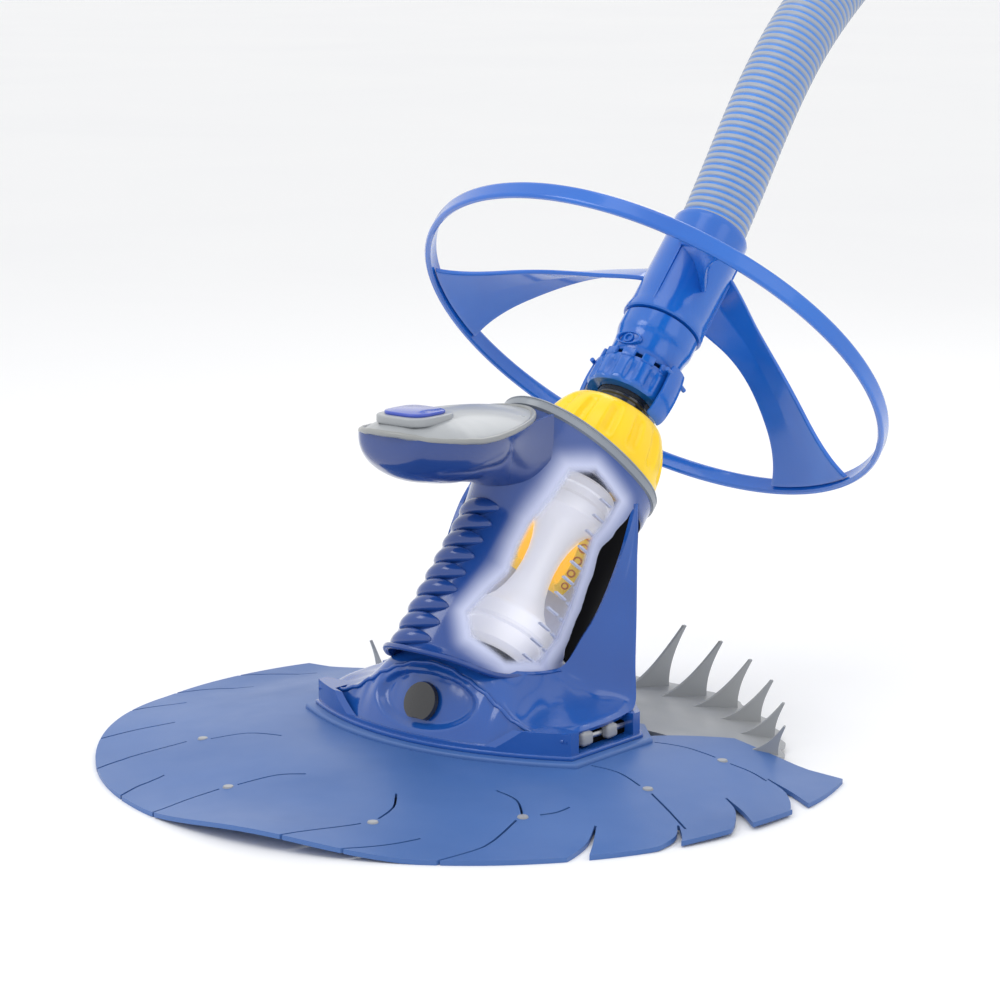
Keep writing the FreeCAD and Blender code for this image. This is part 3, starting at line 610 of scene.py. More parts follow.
# The halo's pale lilac is a frosted rim in the base colour and a painted glow through the emission.
SHELL = ClearingMoulding("housing_blue", (0.013, 0.060, 0.28), (0.018, 0.075, 0.32), Gloss.HIGH,
                         attribute="halo_painted_glow", second=(0.62, 0.66, 0.86))
LOUVRE = Moulding("louvre_blue", (0.012, 0.055, 0.26), (0.016, 0.068, 0.30), Gloss.HIGH)
NAVY = Moulding("handle_navy", (0.012, 0.045, 0.21), (0.018, 0.058, 0.25), Gloss.HIGH)
TRIM = Moulding("trim_grey", (0.30, 0.33, 0.37), (0.25, 0.28, 0.32), Gloss.SOFT)
COVER = Moulding("cover_grey", (0.40, 0.42, 0.44), (0.33, 0.35, 0.37), Gloss.SOFT, flow=14.0)
RIM = Moulding("rim_grey", (0.26, 0.27, 0.27), (0.31, 0.32, 0.32), Gloss.SOFT)
BADGE = Moulding("badge_dark", (0.022, 0.023, 0.026), (0.030, 0.031, 0.034), Gloss.HIGH)
PLATE = Moulding("plate_blue", (0.028, 0.065, 0.44), (0.040, 0.085, 0.50), Gloss.HIGH)
# The nut and saddle carry a painted glow that brightens them.
YELLOW = Moulding("nut_yellow", (1.0, 0.71, 0.002), (0.97, 0.62, 0.001), Gloss.SOFT, painted_glow=0.10)
SADDLE = Moulding("saddle_yellow", (0.92, 0.60, 0.02), (0.86, 0.50, 0.01), Gloss.SOFT, painted_glow=0.25)
ORANGE = Moulding("socket_orange", (0.85, 0.28, 0.01), (0.78, 0.22, 0.01), Gloss.SATIN)
PIPE = Moulding("pipe_black", (0.018, 0.021, 0.028), (0.028, 0.032, 0.040), Gloss.HIGH)
AZURE = Moulding("hub_blue", (0.010, 0.15, 0.60), (0.008, 0.11, 0.50), Gloss.HIGH)
RING = Moulding("ring_blue", (0.014, 0.16, 0.64), (0.010, 0.12, 0.54), Gloss.HIGH)
# The diaphragm and its pale carrier carry a painted glow, as if lit inside the housing.
MILKY = Moulding("diaphragm_milky", (0.90, 0.90, 0.93), (0.84, 0.84, 0.90), Gloss.SOFT,
                 alpha=0.90, painted_glow=0.34)
PALE = Moulding("frame_pale", (0.52, 0.56, 0.70), (0.44, 0.48, 0.63), Gloss.SOFT, painted_glow=0.18)
BLACK = Moulding("foot_black", (0.020, 0.021, 0.024), (0.032, 0.033, 0.037), Gloss.DULL)
# Dull near-black painted shade, laid as a sheet and blocks where the gap and pockets are in shade;
# it barely reflects.
SHADOW = Moulding("painted_shade", (0.003, 0.003, 0.004), (0.005, 0.005, 0.006), Gloss.DULL,
                  mirror=0.02)
CLIP = Moulding("latch_grey", (0.36, 0.37, 0.39), (0.30, 0.31, 0.33), Gloss.SOFT)
BUSH = Moulding("bush_white", (0.68, 0.68, 0.65), (0.60, 0.60, 0.57), Gloss.SATIN)
STEEL = Moulding("steel", (0.55, 0.56, 0.58), (0.45, 0.46, 0.48), Gloss.SOFT, metal=1.0)
IRON = Moulding("ballast_iron", (0.05, 0.05, 0.055), (0.08, 0.08, 0.085), Gloss.DULL, metal=0.6)
FOAM = Moulding("foam", (0.75, 0.75, 0.70), (0.66, 0.66, 0.60), Gloss.DULL, grain=500.0,
                depth=0.0004)
HOSE = BandedMoulding("hose_grey", (0.36, 0.40, 0.47), (0.30, 0.34, 0.41), Gloss.SOFT,
                      attribute="groove", second=(0.10, 0.33, 0.86))
FLOOR = Moulding("studio_floor", (0.94, 0.945, 0.955), (0.92, 0.925, 0.94), Gloss.DULL,
                 grain=40.0, depth=0.0002, flow=1.0)


# ---------------------------------------------------------------- pieces


def piece(name: str, mesh: bmesh.types.BMesh, place: Matrix, finish: Moulding, body: str,
          stands_for: Sequence[str] = (), crease: float = 38.0,
          marks: dict[str, Callable[[Vector], float]] | None = None) -> bpy.types.Object:
    """Turn a mesh into a finished piece that rides on a body.

    Args:
        name: The piece's name.
        mesh: Its mesh, in the place's millimetres; it is used up.
        place: UPRIGHT or LEANING.
        finish: What it is made of.
        body: The body it rides on.
        stands_for: CAD nodes that it replaces.
        crease: Turn, in degrees, past which an edge shows sharp.
        marks: Attributes by name, each read from a point in the mesh's own millimetres.

    Returns:
        The piece's object.
    """
    for mark, reading in (marks or {}).items():
        layer = mesh.verts.layers.float.new(mark)
        for vert in mesh.verts:
            vert[layer] = reading(vert.co)
    mesh.transform(place)
    limit = math.radians(crease)
    for face in mesh.faces:
        face.smooth = True
    for edge in mesh.edges:
        edge.smooth = len(edge.link_faces) != 2 or edge.calc_face_angle(0) < limit
    data = bpy.data.meshes.new(name)
    mesh.to_mesh(data)
    mesh.free()
    made = bpy.data.objects.new(name, data)
    bpy.context.scene.collection.objects.link(made)
    data.materials.append(finish.material())
    if stands_for:
        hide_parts(*stands_for)
    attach(made, body)
    LOG.info("%s on %s: %d faces", name, body, len(data.polygons))
    return made


def carved(mesh: bmesh.types.BMesh, cutter: bmesh.types.BMesh) -> bmesh.types.BMesh:
    """Cut one closed mesh out of another.

    Args:
        mesh: The mesh that is cut; it is used up.
        cutter: What is taken away; it is used up.

    Returns:
        What is left.
    """
    holders = []
    for source in (mesh, cutter):
        data = bpy.data.meshes.new("carving")
        source.to_mesh(data)
        source.free()
        holder = bpy.data.objects.new("carving", data)
        bpy.context.scene.collection.objects.link(holder)
        holders.append(holder)
    body, tool = holders
    cut = body.modifiers.new("cut", "BOOLEAN")
    cut.object = tool
    cut.operation = "DIFFERENCE"
    cut.solver = "EXACT"
    graph = bpy.context.evaluated_depsgraph_get()
    result = bpy.data.meshes.new_from_object(body.evaluated_get(graph))
    left = bmesh.new()
    left.from_mesh(result)
    for holder in holders:
        data = holder.data
        bpy.data.objects.remove(holder)
        bpy.data.meshes.remove(data)
    bpy.data.meshes.remove(result)
    return left


# ---------------------------------------------------------------- skirts


@dataclass
class Skirt:
    """The soft round skirt: sagging, slit, and cut into fingers on one side.

    Attributes:
        radius: Its outer radius.
        bore: Radius of the hole over the foot.
        wall: Its thickness.
        flat_radius: Where it starts to sag.
        flat_height: Height of its top inside that.
        edge_height: Height of its top at the rim, without the waves.
        slit_width: Width of a slit.
        rear_edge: Its cut rear edge on the +X side, from the chassis to well outside the rim.
        slits: Slits in plan, each through three places.
        gaps: Gaps between fingers, each through three places, and its width at the rim.
        holes: Places of the eyelets in plan.
        eyelet: An eyelet's (radius, height) profile.
        step_grow: How far the raised step runs outside the chassis.
        step_low: Height of the step's underside.
        step_rise: Its height.
    """

    radius: float = 247.0
    bore: float = 33.0
    wall: float = 3.0
    flat_radius: float = 112.0
    flat_height: float = 16.2
    edge_height: float = 3.0
    slit_width: float = 1.5
    rear_edge: tuple = ((94, 37), (140, 97), (300, 79), (300, 330))
    slits: tuple = (
        ((-195, -153), (-190, -124), (-180, -98)), ((-230, -94), (-226, -74), (-216, -52)),
        ((-246, -38), (-234, -12), (-212, 10)), ((-246, 28), (-230, 46), (-204, 66)),
        ((-148, -200), (-150, -168), (-136, -130)), ((-123, -121), (-106, -104), (-80, -99)),
        ((-92, -232), (-100, -206), (-101, -184)), ((-51, -243), (-52, -214), (-46, -190)),
        ((-40, -180), (-28, -158), (-12, -148)), ((55, -243), (62, -212), (71, -188)),
        ((74, -176), (70, -158), (58, -142)), ((92, -231), (104, -204), (112, -181)),
        ((139, -119), (122, -104), (103, -101)), ((139, -125), (147, -164), (143, -203)),
        ((145, -110), (150, -100), (151, -89)), ((118, -26), (138, -24), (160, -31)),
        ((172, -35), (196, -49), (221, -66)), ((116, 42), (136, 50), (158, 51)),
        ((170, 50), (186, 50), (202, 45)))
    gaps: tuple = (
        ((178, -98), (192, -122), (205, -151), 17.0), ((214, -64), (226, -80), (234, -104), 19.0),
        ((206, -4), (226, -18), (250, -45), 19.0), ((200, 49), (224, 38), (252, 14), 19.0))
    holes: tuple = ((-129, -122), (-43, -185), (75, -182), (139, -119), (166, -31), (164, 50))
    eyelet: tuple = ((AXIS_POINT, 0), (3.0, 0), (3.6, -0.9), (3.6, -2), (AXIS_POINT, -2))
    step_grow: float = 8.0
    step_low: float = 14.0
    step_rise: float = 5.0

    def height(self, x: float, y: float) -> float:
        """Height of the skirt's top at a place in plan.

        Args:
            x: Distance towards +X.
            y: Distance towards the rear.

        Returns:
            The height, with the rim's waves and the raised lobe at the front.
        """
        away = math.hypot(x, y)
        sag = 1 - smooth(self.flat_radius, self.radius, away)
        turn = math.degrees(math.atan2(y, x))
        lobe = 6.0 * math.exp(-((turn + 82.0) / 16.0) ** 2)
        waves = 2.2 * math.cos(math.radians(5 * turn + 40))
        height = self.edge_height + (self.flat_height - self.edge_height) * sag
        return height + (lobe + waves) * smooth(150.0, self.radius, away) ** 2

    def sheet(self) -> bmesh.types.BMesh:
        """The whole round sheet, before anything is cut from it.

        Returns:
            The sheet, with its wall.
        """
        def rule(u: float, v: float) -> Vector:
            """A point of the top: u runs round it and v outwards."""
            turn = FULL_TURN * u
            away = self.bore + (self.radius - self.bore) * v
            x, y = away * math.cos(turn), away * math.sin(turn)
            return Vector((x, y, max(self.height(x, y), self.wall)))

        return thickened(surface(rule, 200, 26), self.wall)

    def slit(self, points: Sequence[tuple[float, float]], width: float,
             mouth: float) -> bmesh.types.BMesh:
        """A cutter for one slit, from its fine end to its mouth.

        Args:
            points: Three places along the slit.
            width: Width at the fine end.
            mouth: Width at the other end.

        Returns:
            The upright cutter.
        """
        left, right = [], []
        for share in evenly(0.0, 1.0, 8):
            x, y = through(points, share)
            ahead = through(points, min(share + 0.05, 1.0))
            behind = through(points, max(share - 0.05, 0.0))
            run = Vector((ahead[0] - behind[0], ahead[1] - behind[1], 0)).normalized()
            side = Vector((-run.y, run.x, 0)) * (width + (mouth - width) * share ** 2.5) / 2
            left.append(Vector((x, y, -self.flat_height)) + side)
            right.append(Vector((x, y, -self.flat_height)) - side)
        return outline_prism(left + right[::-1], Vector((0, 0, 4 * self.flat_height)))

    def rear_cutter(self) -> bmesh.types.BMesh:
        """A cutter for the sector behind the chassis, where the finned skirt lies.

        Returns:
            The upright cutter.
        """
        points = [*self.rear_edge, *((-x, y) for x, y in reversed(self.rear_edge))]
        return outline_prism([Vector((x, y, -self.flat_height)) for x, y in points],
                             Vector((0, 0, 4 * self.flat_height)))

    def build(self) -> None:
        """Make the skirt, its eyelets and the raised step round the chassis."""
        cutters = [self.rear_cutter()]
        cutters += [self.slit(points, self.slit_width, self.slit_width) for points in self.slits]
        cutters += [self.slit(gap[:3], self.slit_width, gap[3]) for gap in self.gaps]
        sheet = carved(self.sheet(), gathered(cutters))
        piece("skirt", sheet, UPRIGHT, SKIRT, "body", ["flexible_disc"])
        studs = []
        for x, y in self.holes:
            stud = spun(self.eyelet, 20)
            bmesh.ops.translate(stud, verts=stud.verts[:], vec=(x, y, self.height(x, y) + 0.7))
            studs.append(stud)
        piece("skirt_eyelets", gathered(studs), UPRIGHT, CLIP, "body")
        step = outline_prism(chassis_outline(self.step_grow, self.step_low),
                             Vector((0, 0, self.step_rise)))
        piece("skirt_step", softened(step, 1.6, 3, 60.0), UPRIGHT, SKIRT, "body")


def middle_of(node: str) -> tuple[Vector, Vector]:
    """Where a CAD node is, in upright millimetres.

    Args:
        node: The node's name.

    Returns:
        The middle of its box, and half the box's size.
    """
    low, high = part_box(node)
    return (low + high) / (2 * MM), (high - low) / (2 * MM)


def chassis_outline(grow: float, height: float) -> list[Vector]:
    """The chassis's plan: bowed front, straight sides, cut rear corners.

    Args:
        grow: How far outside the chassis the outline runs.
        height: Its height.

    Returns:
        The outline's points in order.
    """
    low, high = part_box("chassis_base")
    half = high.x / MM + grow
    front = low.y / MM - grow
    rear_grow = grow * 0.4
    rear, side_end = high.y / MM + rear_grow, CHASSIS_SIDE_END + rear_grow
    corner = CHASSIS_CORNER - grow * 0.6
    points = [(share * half, front + (corner - front) * share ** 2)
              for share in evenly(-1.0, 1.0, 16)]
    points += [(half, side_end), (half - CHASSIS_CORNER_CUT, rear),
               (CHASSIS_CORNER_CUT - half, rear), (-half, side_end)]
    return [Vector((x, y, height)) for x, y in points]


@dataclass
class FinnedSkirt:
    """The grey sheet behind the chassis, with curved upright fins.

    Attributes:
        radius: The sheet's outer radius, at the top of its scallops.
        scallop: Depth of half a scallop.
        scallops: Scallops in a full turn.
        wall: The sheet's thickness.
        fin_wall: A fin's thickness.
        spread: The sheet's first and last direction, in degrees from +X.
        first: Direction of the first fin, in degrees from the middle.
        pitch: Degrees from fin to fin.
        per_side: Fins on each side.
        tallest: Height of the first fin.
        shortest: Height of the last.
        root_in: Where a fin's root starts, first and last fin.
        root_out: Where it ends, first and last fin.
    """

    radius: float = 204.0
    scallop: float = 2.0
    scallops: int = 48
    wall: float = 3.0
    fin_wall: float = 1.9
    spread: tuple[float, float] = (28.0, 152.0)
    first: float = 5.5
    pitch: float = 11.0
    per_side: int = 6
    tallest: float = 44.0
    shortest: float = 21.0
    root_in: tuple[float, float] = (130.0, 174.0)
    root_out: tuple[float, float] = (188.0, 200.0)

    def sheet(self) -> bmesh.types.BMesh:
        """The sheet's fan between the skirt's rear edges.

        Returns:
            The fan, with its wall.
        """
        skirt = Skirt()
        first, last = self.spread

        def rule(u: float, v: float) -> Vector:
            """A point of the top: u runs round the fan and v outwards."""
            turn = math.radians(first + (last - first) * u)
            inner = 62.0 / max(math.sin(turn), 0.42)
            outer = self.radius - self.scallop * (1 - math.cos(self.scallops * turn))
            away = inner + (outer - inner) * v
            x, y = away * math.cos(turn), away * math.sin(turn)
            return Vector((x, y, skirt.height(x, y) - 0.4))

        return thickened(surface(rule, 120, 24), self.wall)

    def fin(self, order: int) -> bmesh.types.BMesh:
        """One sickle fin, curling outwards to its tip.

        Args:
            order: 0 for the fin next to the middle.

        Returns:
            The fin on the +X side.
        """
        share = order / (self.per_side - 1)
        height = self.tallest + (self.shortest - self.tallest) * share
        turn = math.radians(90 - self.first - order * self.pitch)
        root_in = self.root_in[0] + (self.root_in[1] - self.root_in[0]) * share
        root_out = self.root_out[0] + (self.root_out[1] - self.root_out[0]) * share
        skirt = Skirt()

        def rule(u: float, v: float) -> Vector:
            """A point of the fin: u runs outwards along it and v up to its tip."""
            rise = v ** 1.15
            inner = root_in + (root_out + 0.16 * height - root_in) * v ** 0.55
            outer = root_out - 0.05 * height * math.sin(math.pi * v) + 0.22 * height * v ** 1.6
            away = inner + (outer - inner) * u
            lean = -0.16 * height * v ** 2
            x = away * math.cos(turn) - lean * math.sin(turn)
            y = away * math.sin(turn) + lean * math.cos(turn)
            return Vector((x, y, skirt.height(x, y) - 2.0 + (height + 2.0) * rise))

        return thickened(surface(rule, 12, 18, 0.05), self.fin_wall)

    def build(self) -> None:
        """Make the sheet and its fins."""
        piece("fin_sheet", self.sheet(), UPRIGHT, FINS, "body", ["fin_disc"])
        fins = []
        for order in range(self.per_side):
            fins.append(self.fin(order))
            other = self.fin(order)
            bmesh.ops.scale(other, verts=other.verts[:], vec=(-1, 1, 1))
            bmesh.ops.reverse_faces(other, faces=other.faces[:])
            fins.append(other)
        piece("fins", gathered(fins), UPRIGHT, FINS, "body", crease=50.0)


# ---------------------------------------------------------------- chassis


@dataclass
class Chassis:
    """The bright blue chassis: brow, recess, sweeping shoulders, clips and badge.

    Attributes:
        half: Half its width.
        front: Where its front edge lies in the middle.
        corner: Where its front edge meets its sides.
        lip: Height of the base's flange.
        brow: The brow's edge, as (distance from the middle, height).
        brow_half: Half the width of the front face.
        brow_place: Where the brow's edge lies in the middle.
        recess: The recess's half width, half height and depth.
        recess_height: Height of its middle.
        outer: The shoulder's outer edge, from the brow to the side wall's top.
        inner: Its inner edge.
        bulge: How far it bulges between them.
        pocket: Size of a block of painted shade inside a pocket.
        slat: Size of a slat in it.
        slats: Slats in a pocket.
        clip: Size of a clip.
        clip_core: Size of the narrower, taller block inside it.
        clip_pitch: Distance between a latch's two clips.
        shell_wall: Thickness of the shoulders.
        face_wall: Thickness of the front face and the deck.
    """

    half: float = 108.0
    front: float = -65.0
    corner: float = CHASSIS_CORNER
    lip: float = 21.0
    brow: tuple = ((0, 66), (14, 64.5), (28, 60), (42, 54), (54, 46.5), (67, 39), (80, 34.5),
                   (93, 32), (106, 31))
    brow_half: float = 106.0
    brow_place: float = -41.0
    recess: tuple[float, float, float] = (43.0, 18.0, 8.0)
    recess_height: float = 43.5
    outer: tuple = ((0, -41, 66), (22, -41, 62.5), (42, -41, 54), (58, -41, 44), (76, -41, 35.5),
                    (94, -34, 34), (103, -18, 36), (105, 6, 37), (104, 26, 38), (102, 40, 42),
                    (95, 49, 66), (88, 59, 96), (79, 71, 130), (71, 82, 161))
    inner: tuple = ((0, -34, 72), (20, -32, 70), (36, -26, 67), (47, -14, 63), (52, -2, 61),
                    (54, 8, 60), (56, 14, 60), (58, 18, 61), (61, 23, 66), (65, 30, 78),
                    (70, 42, 96), (73, 57, 122), (73, 70, 144), (70, 81, 160))
    bulge: tuple = ((0,), (1,), (2.5,), (2,), (-2.5,), (-5,), (-7,), (-8,), (-8,), (-6,), (-4,),
                    (-3,), (-2,), (0,))
    pocket: tuple[float, float, float] = (30.0, 64.0, 9.0)
    slat: tuple[float, float, float] = (1.6, 5.0, 11.0)
    slats: int = 3
    clip: tuple[float, float, float] = (11.0, 11.0, 8.6)
    clip_core: tuple[float, float, float] = (8.0, 8.0, 9.8)
    clip_pitch: float = 25.0
    shell_wall: float = 3.0
    face_wall: float = 2.5

    def brow_edge(self, x: float) -> Vector:
        """The point of the brow's edge at a distance from the middle."""
        back = 5.0 * smooth(70, self.brow_half, abs(x))
        return Vector((x, self.brow_place + back, at_height(self.brow, abs(x))))

    def lip_y(self, x: float) -> float:
        """Where the base's front edge lies at a distance from the middle."""
        return self.front + (self.corner - self.front) * (x / self.half) ** 2

    def visor(self) -> bmesh.types.BMesh:
        """The front face under the brow, hollowed into a lens-shaped recess.

        Returns:
            The face, with its wall.
        """
        wide, tall, deep = self.recess
        foot = self.lip + 2.0

        def rule(u: float, v: float) -> Vector:
            """A point of the face: u runs across it and v up to the brow."""
            x = (2 * u - 1) * self.brow_half
            brow = self.brow_edge(x)
            z = foot + (brow.z - foot) * v
            y_low = self.lip_y(x) + self.face_wall
            y = y_low + (brow.y - y_low) * (v ** 0.8)
            y -= 4.0 * math.sin(math.pi * v) * (1 - smooth(30, 75, abs(x)))
            off = math.hypot(x / wide, (z - self.recess_height) / tall)
            facet = 1 - smooth(0.78, 1.0, off)
            lens = 0.55 + 0.45 * (abs(x) / wide) ** 1.5
            return Vector((x, y + deep * facet * lens, z))

        return thickened(surface(rule, 180, 44), self.face_wall)

    def sweep(self, side: int) -> bmesh.types.BMesh:
        """The shoulder that runs from the brow round to the side wall's top.

        Args:
            side: 1 for +X, -1 for the mirror side.

        Returns:
            The shell.
        """
        out = Vector((0.55, -0.45, 0.7)).normalized()

        def rule(u: float, v: float) -> Vector:
            """A point of the shoulder: u runs along it and v from its outer to its inner edge."""
            outer = Vector(through(self.outer, u))
            inner = Vector(through(self.inner, u))
            point = outer.lerp(inner, v) + out * through(self.bulge, u)[0] * math.sin(math.pi * v)
            roll = 1 - smooth(0.0, 0.10, v)
            point.z -= 2.2 * roll * roll
            return Vector((point.x * side, point.y, point.z))

        return thickened(surface(rule, 110, 22), self.shell_wall)

    def bridge(self) -> bmesh.types.BMesh:
        """The deck behind the brow and under the housing, between the two sweeps.

        Returns:
            The deck, with its wall.
        """
        def rule(u: float, v: float) -> Vector:
            """A point of the deck: u runs across it and v backwards."""
            place = 0.52 * abs(2 * u - 1)
            side = 1 if u >= 0.5 else -1
            edge = Vector(through(self.inner, place))
            back = Vector((edge.x * 0.96, 58.0, 50.0))
            point = edge.lerp(back, v)
            return Vector((side * point.x, point.y, point.z - 3.0 * smooth(0, 0.1, v)))

        return thickened(surface(rule, 60, 24), self.face_wall)

    def build(self) -> None:
        """Make the chassis's shells, lip, clips and badge."""
        piece("visor", self.visor(), UPRIGHT, CHASSIS, "body", ["chassis_front"])
        cover = gathered([self.sweep(1), self.sweep(-1), self.bridge()])
        piece("shoulders", cover, UPRIGHT, CHASSIS, "body",
              ["chassis_cover", "side_wall_right", "side_wall_left"])
        self.lips()
        self.clips()
        self.badge()

    def lips(self) -> None:
        """The thin flange round the foot of the chassis and the bead on the brow."""
        flange = outline_prism(chassis_outline(2.0, 18.8), Vector((0, 0, 3.0)))
        piece("base_flange", softened(flange, 0.9, 3, 50.0), UPRIGHT, CHASSIS, "body")
        end = self.brow_half - 2.0
        path = [self.brow_edge(x) for x in evenly(-end, end, 60)]
        piece("brow_bead", round_bar(path, 1.5), UPRIGHT, CHASSIS, "body")

    def clips(self) -> None:
        """Blocks of painted shade for the pockets, with slats, and a pair of grey clips on each
        side.
        """
        slats, pockets = [], []
        for side in (-1, 1):
            middle = Vector((side * 86, 2, 26.0))
            pockets.append(rounded_block(Vector(self.pocket), middle, 2.0))
            for step in range(self.slats):
                place = Vector((side * (84 - 5 * step), -33 - step, 28))
                slats.append(rounded_block(Vector(self.slat), place, 0.6))
        # Painted shade: dull black blocks stand in for the shaded insides of the pockets.
        piece("pocket_painted_shade", gathered(pockets), UPRIGHT, SHADOW, "body")
        piece("pocket_slats", gathered(slats), UPRIGHT, CHASSIS, "body")
        for name, side in (("latch_right", 1), ("latch_left", -1)):
            centre, _ = middle_of(name)
            blocks = []
            for step in (-0.5, 0.5):
                middle = centre + Vector((0.0, step * self.clip_pitch - 2.0, 0.4))
                blocks.append(rounded_block(Vector(self.clip), middle, 2.0))
                outward = middle + Vector((side * 0.6, 0.0, 0.0))
                blocks.append(rounded_block(Vector(self.clip_core), outward, 1.6))
            piece(name + "_clips", gathered(blocks), UPRIGHT, CLIP, name, [name])

    def badge(self) -> None:
        """The blank domed badge, cut flat at its foot."""
        centre, half_size = middle_of("round_badge")
        radius = half_size.x

        def rule(u: float, v: float) -> Vector:
            """A point of the dome: u runs round it and v out to its turned-back edge."""
            turn = FULL_TURN * u
            away = radius * v
            x, z = away * math.cos(turn), max(away * math.sin(turn), -0.82 * radius)
            dome = 1.5 * (1 - v * v) + (0.0 if v < 0.99 else -2.5)
            return Vector((x, -dome, z))

        mesh = surface(rule, 64, 16)
        bmesh.ops.rotate(mesh, verts=mesh.verts[:], cent=(0, 0, 0),
                         matrix=Matrix.Rotation(math.radians(-22), 3, "X"))
        bmesh.ops.translate(mesh, verts=mesh.verts[:], vec=centre + Vector((0, 1.0, 0)))
        piece("blank_badge", thickened(mesh, 1.2), UPRIGHT, BADGE, "body", ["round_badge"])


# ---------------------------------------------------------------- housing


@dataclass
class Housing:
    """The leaning housing: shell with a clearing side, louvres, trim and what shows inside.

    Attributes:
        half: Half its width, and its reach to the rear.
        reach: Its reach to the front, below the flare.
        top_reach: Its reach to the front at the top.
        flare: Where it starts to widen to the front, up the axis.
        top: Height of its top, up the axis.
        foot_height: Height of its foot's sloping plane at the middle, above the floor.
        foot_slope: How steeply that plane falls to the rear.
        louvres: Louvre hooks up the prow.
        first: Height of the first hook, up the axis.
        last: Height of the last.
        pane: The clear pane's outline, as (height up the axis, degrees from +X).
        hollow_edge: Front edge of the hollow, where the shell is set in and shade is painted black,
            the same way.
        wall: The shell's thickness.
        louvre_turns: First and last direction of a hook across the prow, in degrees.
        louvre_roll: First and last direction round a hook's roll, in degrees.
        saddle_edge: Direction of the saddle's end that shows, in degrees.
        saddle_wrap: How far it reaches round from there, in degrees.
        saddle_middle: Height of its middle, up the axis.
        sockets: Orange sockets in its end.
        carrier_turns: First and last direction of the carrier round the far side, in degrees.
        carrier_span: Heights of its foot and top, up the axis.
        ribs: Ladder ribs up each row.
        rib: Size of a rib.
        trim_levels: The trim plate's rim, as (growth, height up the axis).
        trim_rings: Rings of faces across the trim plate's top.
        boss_radius: Radius of the hole in the trim plate.
        diaphragm: The diaphragm's (radius, height) profile.
        diaphragm_wall: Its thickness.
    """

    half: float = 50.0
    reach: float = 75.0
    top_reach: float = 86.0
    flare: float = 150.0
    top: float = 222.0
    foot_height: float = 66.0
    foot_slope: float = 0.216
    louvres: int = 9
    first: float = 47.0
    last: float = 148.0
    pane: tuple = ((196, 48), (172, 51), (150, 56), (132, 56), (114, 54), (96, 60), (76, 65),
                   (62, 55), (60, 28), (76, 8), (98, 4), (122, 6), (148, 10), (168, 14),
                   (184, 11), (203, 10), (208, 34))
    hollow_edge: tuple = ((92, -8), (98, -4), (120, 0), (146, 4), (166, 8), (182, 4), (202, 0),
                          (210, -4))
    wall: float = 2.2
    louvre_turns: tuple[float, float] = (76.0, 118.0)
    louvre_roll: tuple[float, float] = (-120.0, 180.0)
    saddle_edge: float = -34.0
    saddle_wrap: float = 192.0
    saddle_middle: float = 165.5
    sockets: int = 5
    carrier_turns: tuple[float, float] = (-40.0, -255.0)
    carrier_span: tuple[float, float] = (62.0, 218.0)
    ribs: int = 13
    rib: tuple[float, float, float] = (3.0, 10.0, 1.4)
    trim_levels: tuple = ((0.0, 221.5), (1.4, 222.4), (1.6, 226.0), (1.0, 226.8), (1.0, 227.4),
                          (1.5, 227.9), (0.6, 229.2), (-2.0, 229.8))
    trim_rings: int = 5
    boss_radius: float = 39.0
    diaphragm: tuple = (
        (12.0, 78), (22.0, 79.5), (26.0, 84), (27.5, 92), (27.5, 95), (30.5, 96), (31.5, 98),
        (31.5, 107), (30.5, 109), (27.0, 110), (23.0, 114), (18.0, 121), (14.5, 130),
        (12.4, 140), (11.6, 150), (12.0, 160), (13.5, 169), (16.0, 177), (20.0, 183),
        (24.5, 187), (27.6, 189), (28.2, 191), (28.2, 198), (27.2, 200), (25.4, 201),
        (25.4, 206), (27.0, 207), (27.2, 212), (26.0, 214), (20.0, 216), (10.0, 217))
    diaphragm_wall: float = 2.0

    def hollow_painted_shade(self, along: float, turn: float) -> float:
        """How far a place lies in the hollow beside the side wall, where the shell is set in and
        shade is painted black, 0 to 1.

        Args:
            along: Height up the axis.
            turn: Angle from +X towards the front, in degrees.

        Returns:
            The share.
        """
        ends = smooth(88.0, 94.0, along) * (1 - smooth(204.0, 210.0, along))
        rear = smooth(-88.0, -80.0, turn)
        return smooth(0.0, 2.5, at_height(self.hollow_edge, along) - turn) * ends * rear

    def around(self, turn: float, along: float) -> tuple[float, float]:
        """The housing's section.

        Args:
            turn: 0 at +X, a quarter turn at the prow.
            along: Height up the axis.

        Returns:
            Distances towards +X and to the front.
        """
        reach = self.reach + (self.top_reach - self.reach) * smooth(self.flare, self.top, along)
        ahead = reach if math.sin(turn) > 0 else self.half
        neck = math.exp(-((math.degrees(turn) - 90) / 27.0) ** 2)
        ahead += 13.0 * neck * smooth(146, 170, along) * (1 - smooth(188, 216, along))
        return self.half * math.cos(turn), ahead * math.sin(turn)

    def foot(self, forward: float) -> float:
        """Where the housing's lower edge lies.

        Args:
            forward: Distance in front of the pipe axis.

        Returns:
            Height up the axis, with the dip over the chassis's sides.
        """
        tilt = leaning(0, 0, 1) - leaning(0, 0, 0)
        base = leaning(0, forward, 0)
        plane = (self.foot_height - self.foot_slope * base.y - base.z) / (
            tilt.z + self.foot_slope * tilt.y)
        spread = 30.0 if forward > 33.0 else 46.0
        return plane - 13.0 * math.exp(-((forward - 33.0) / spread) ** 2)

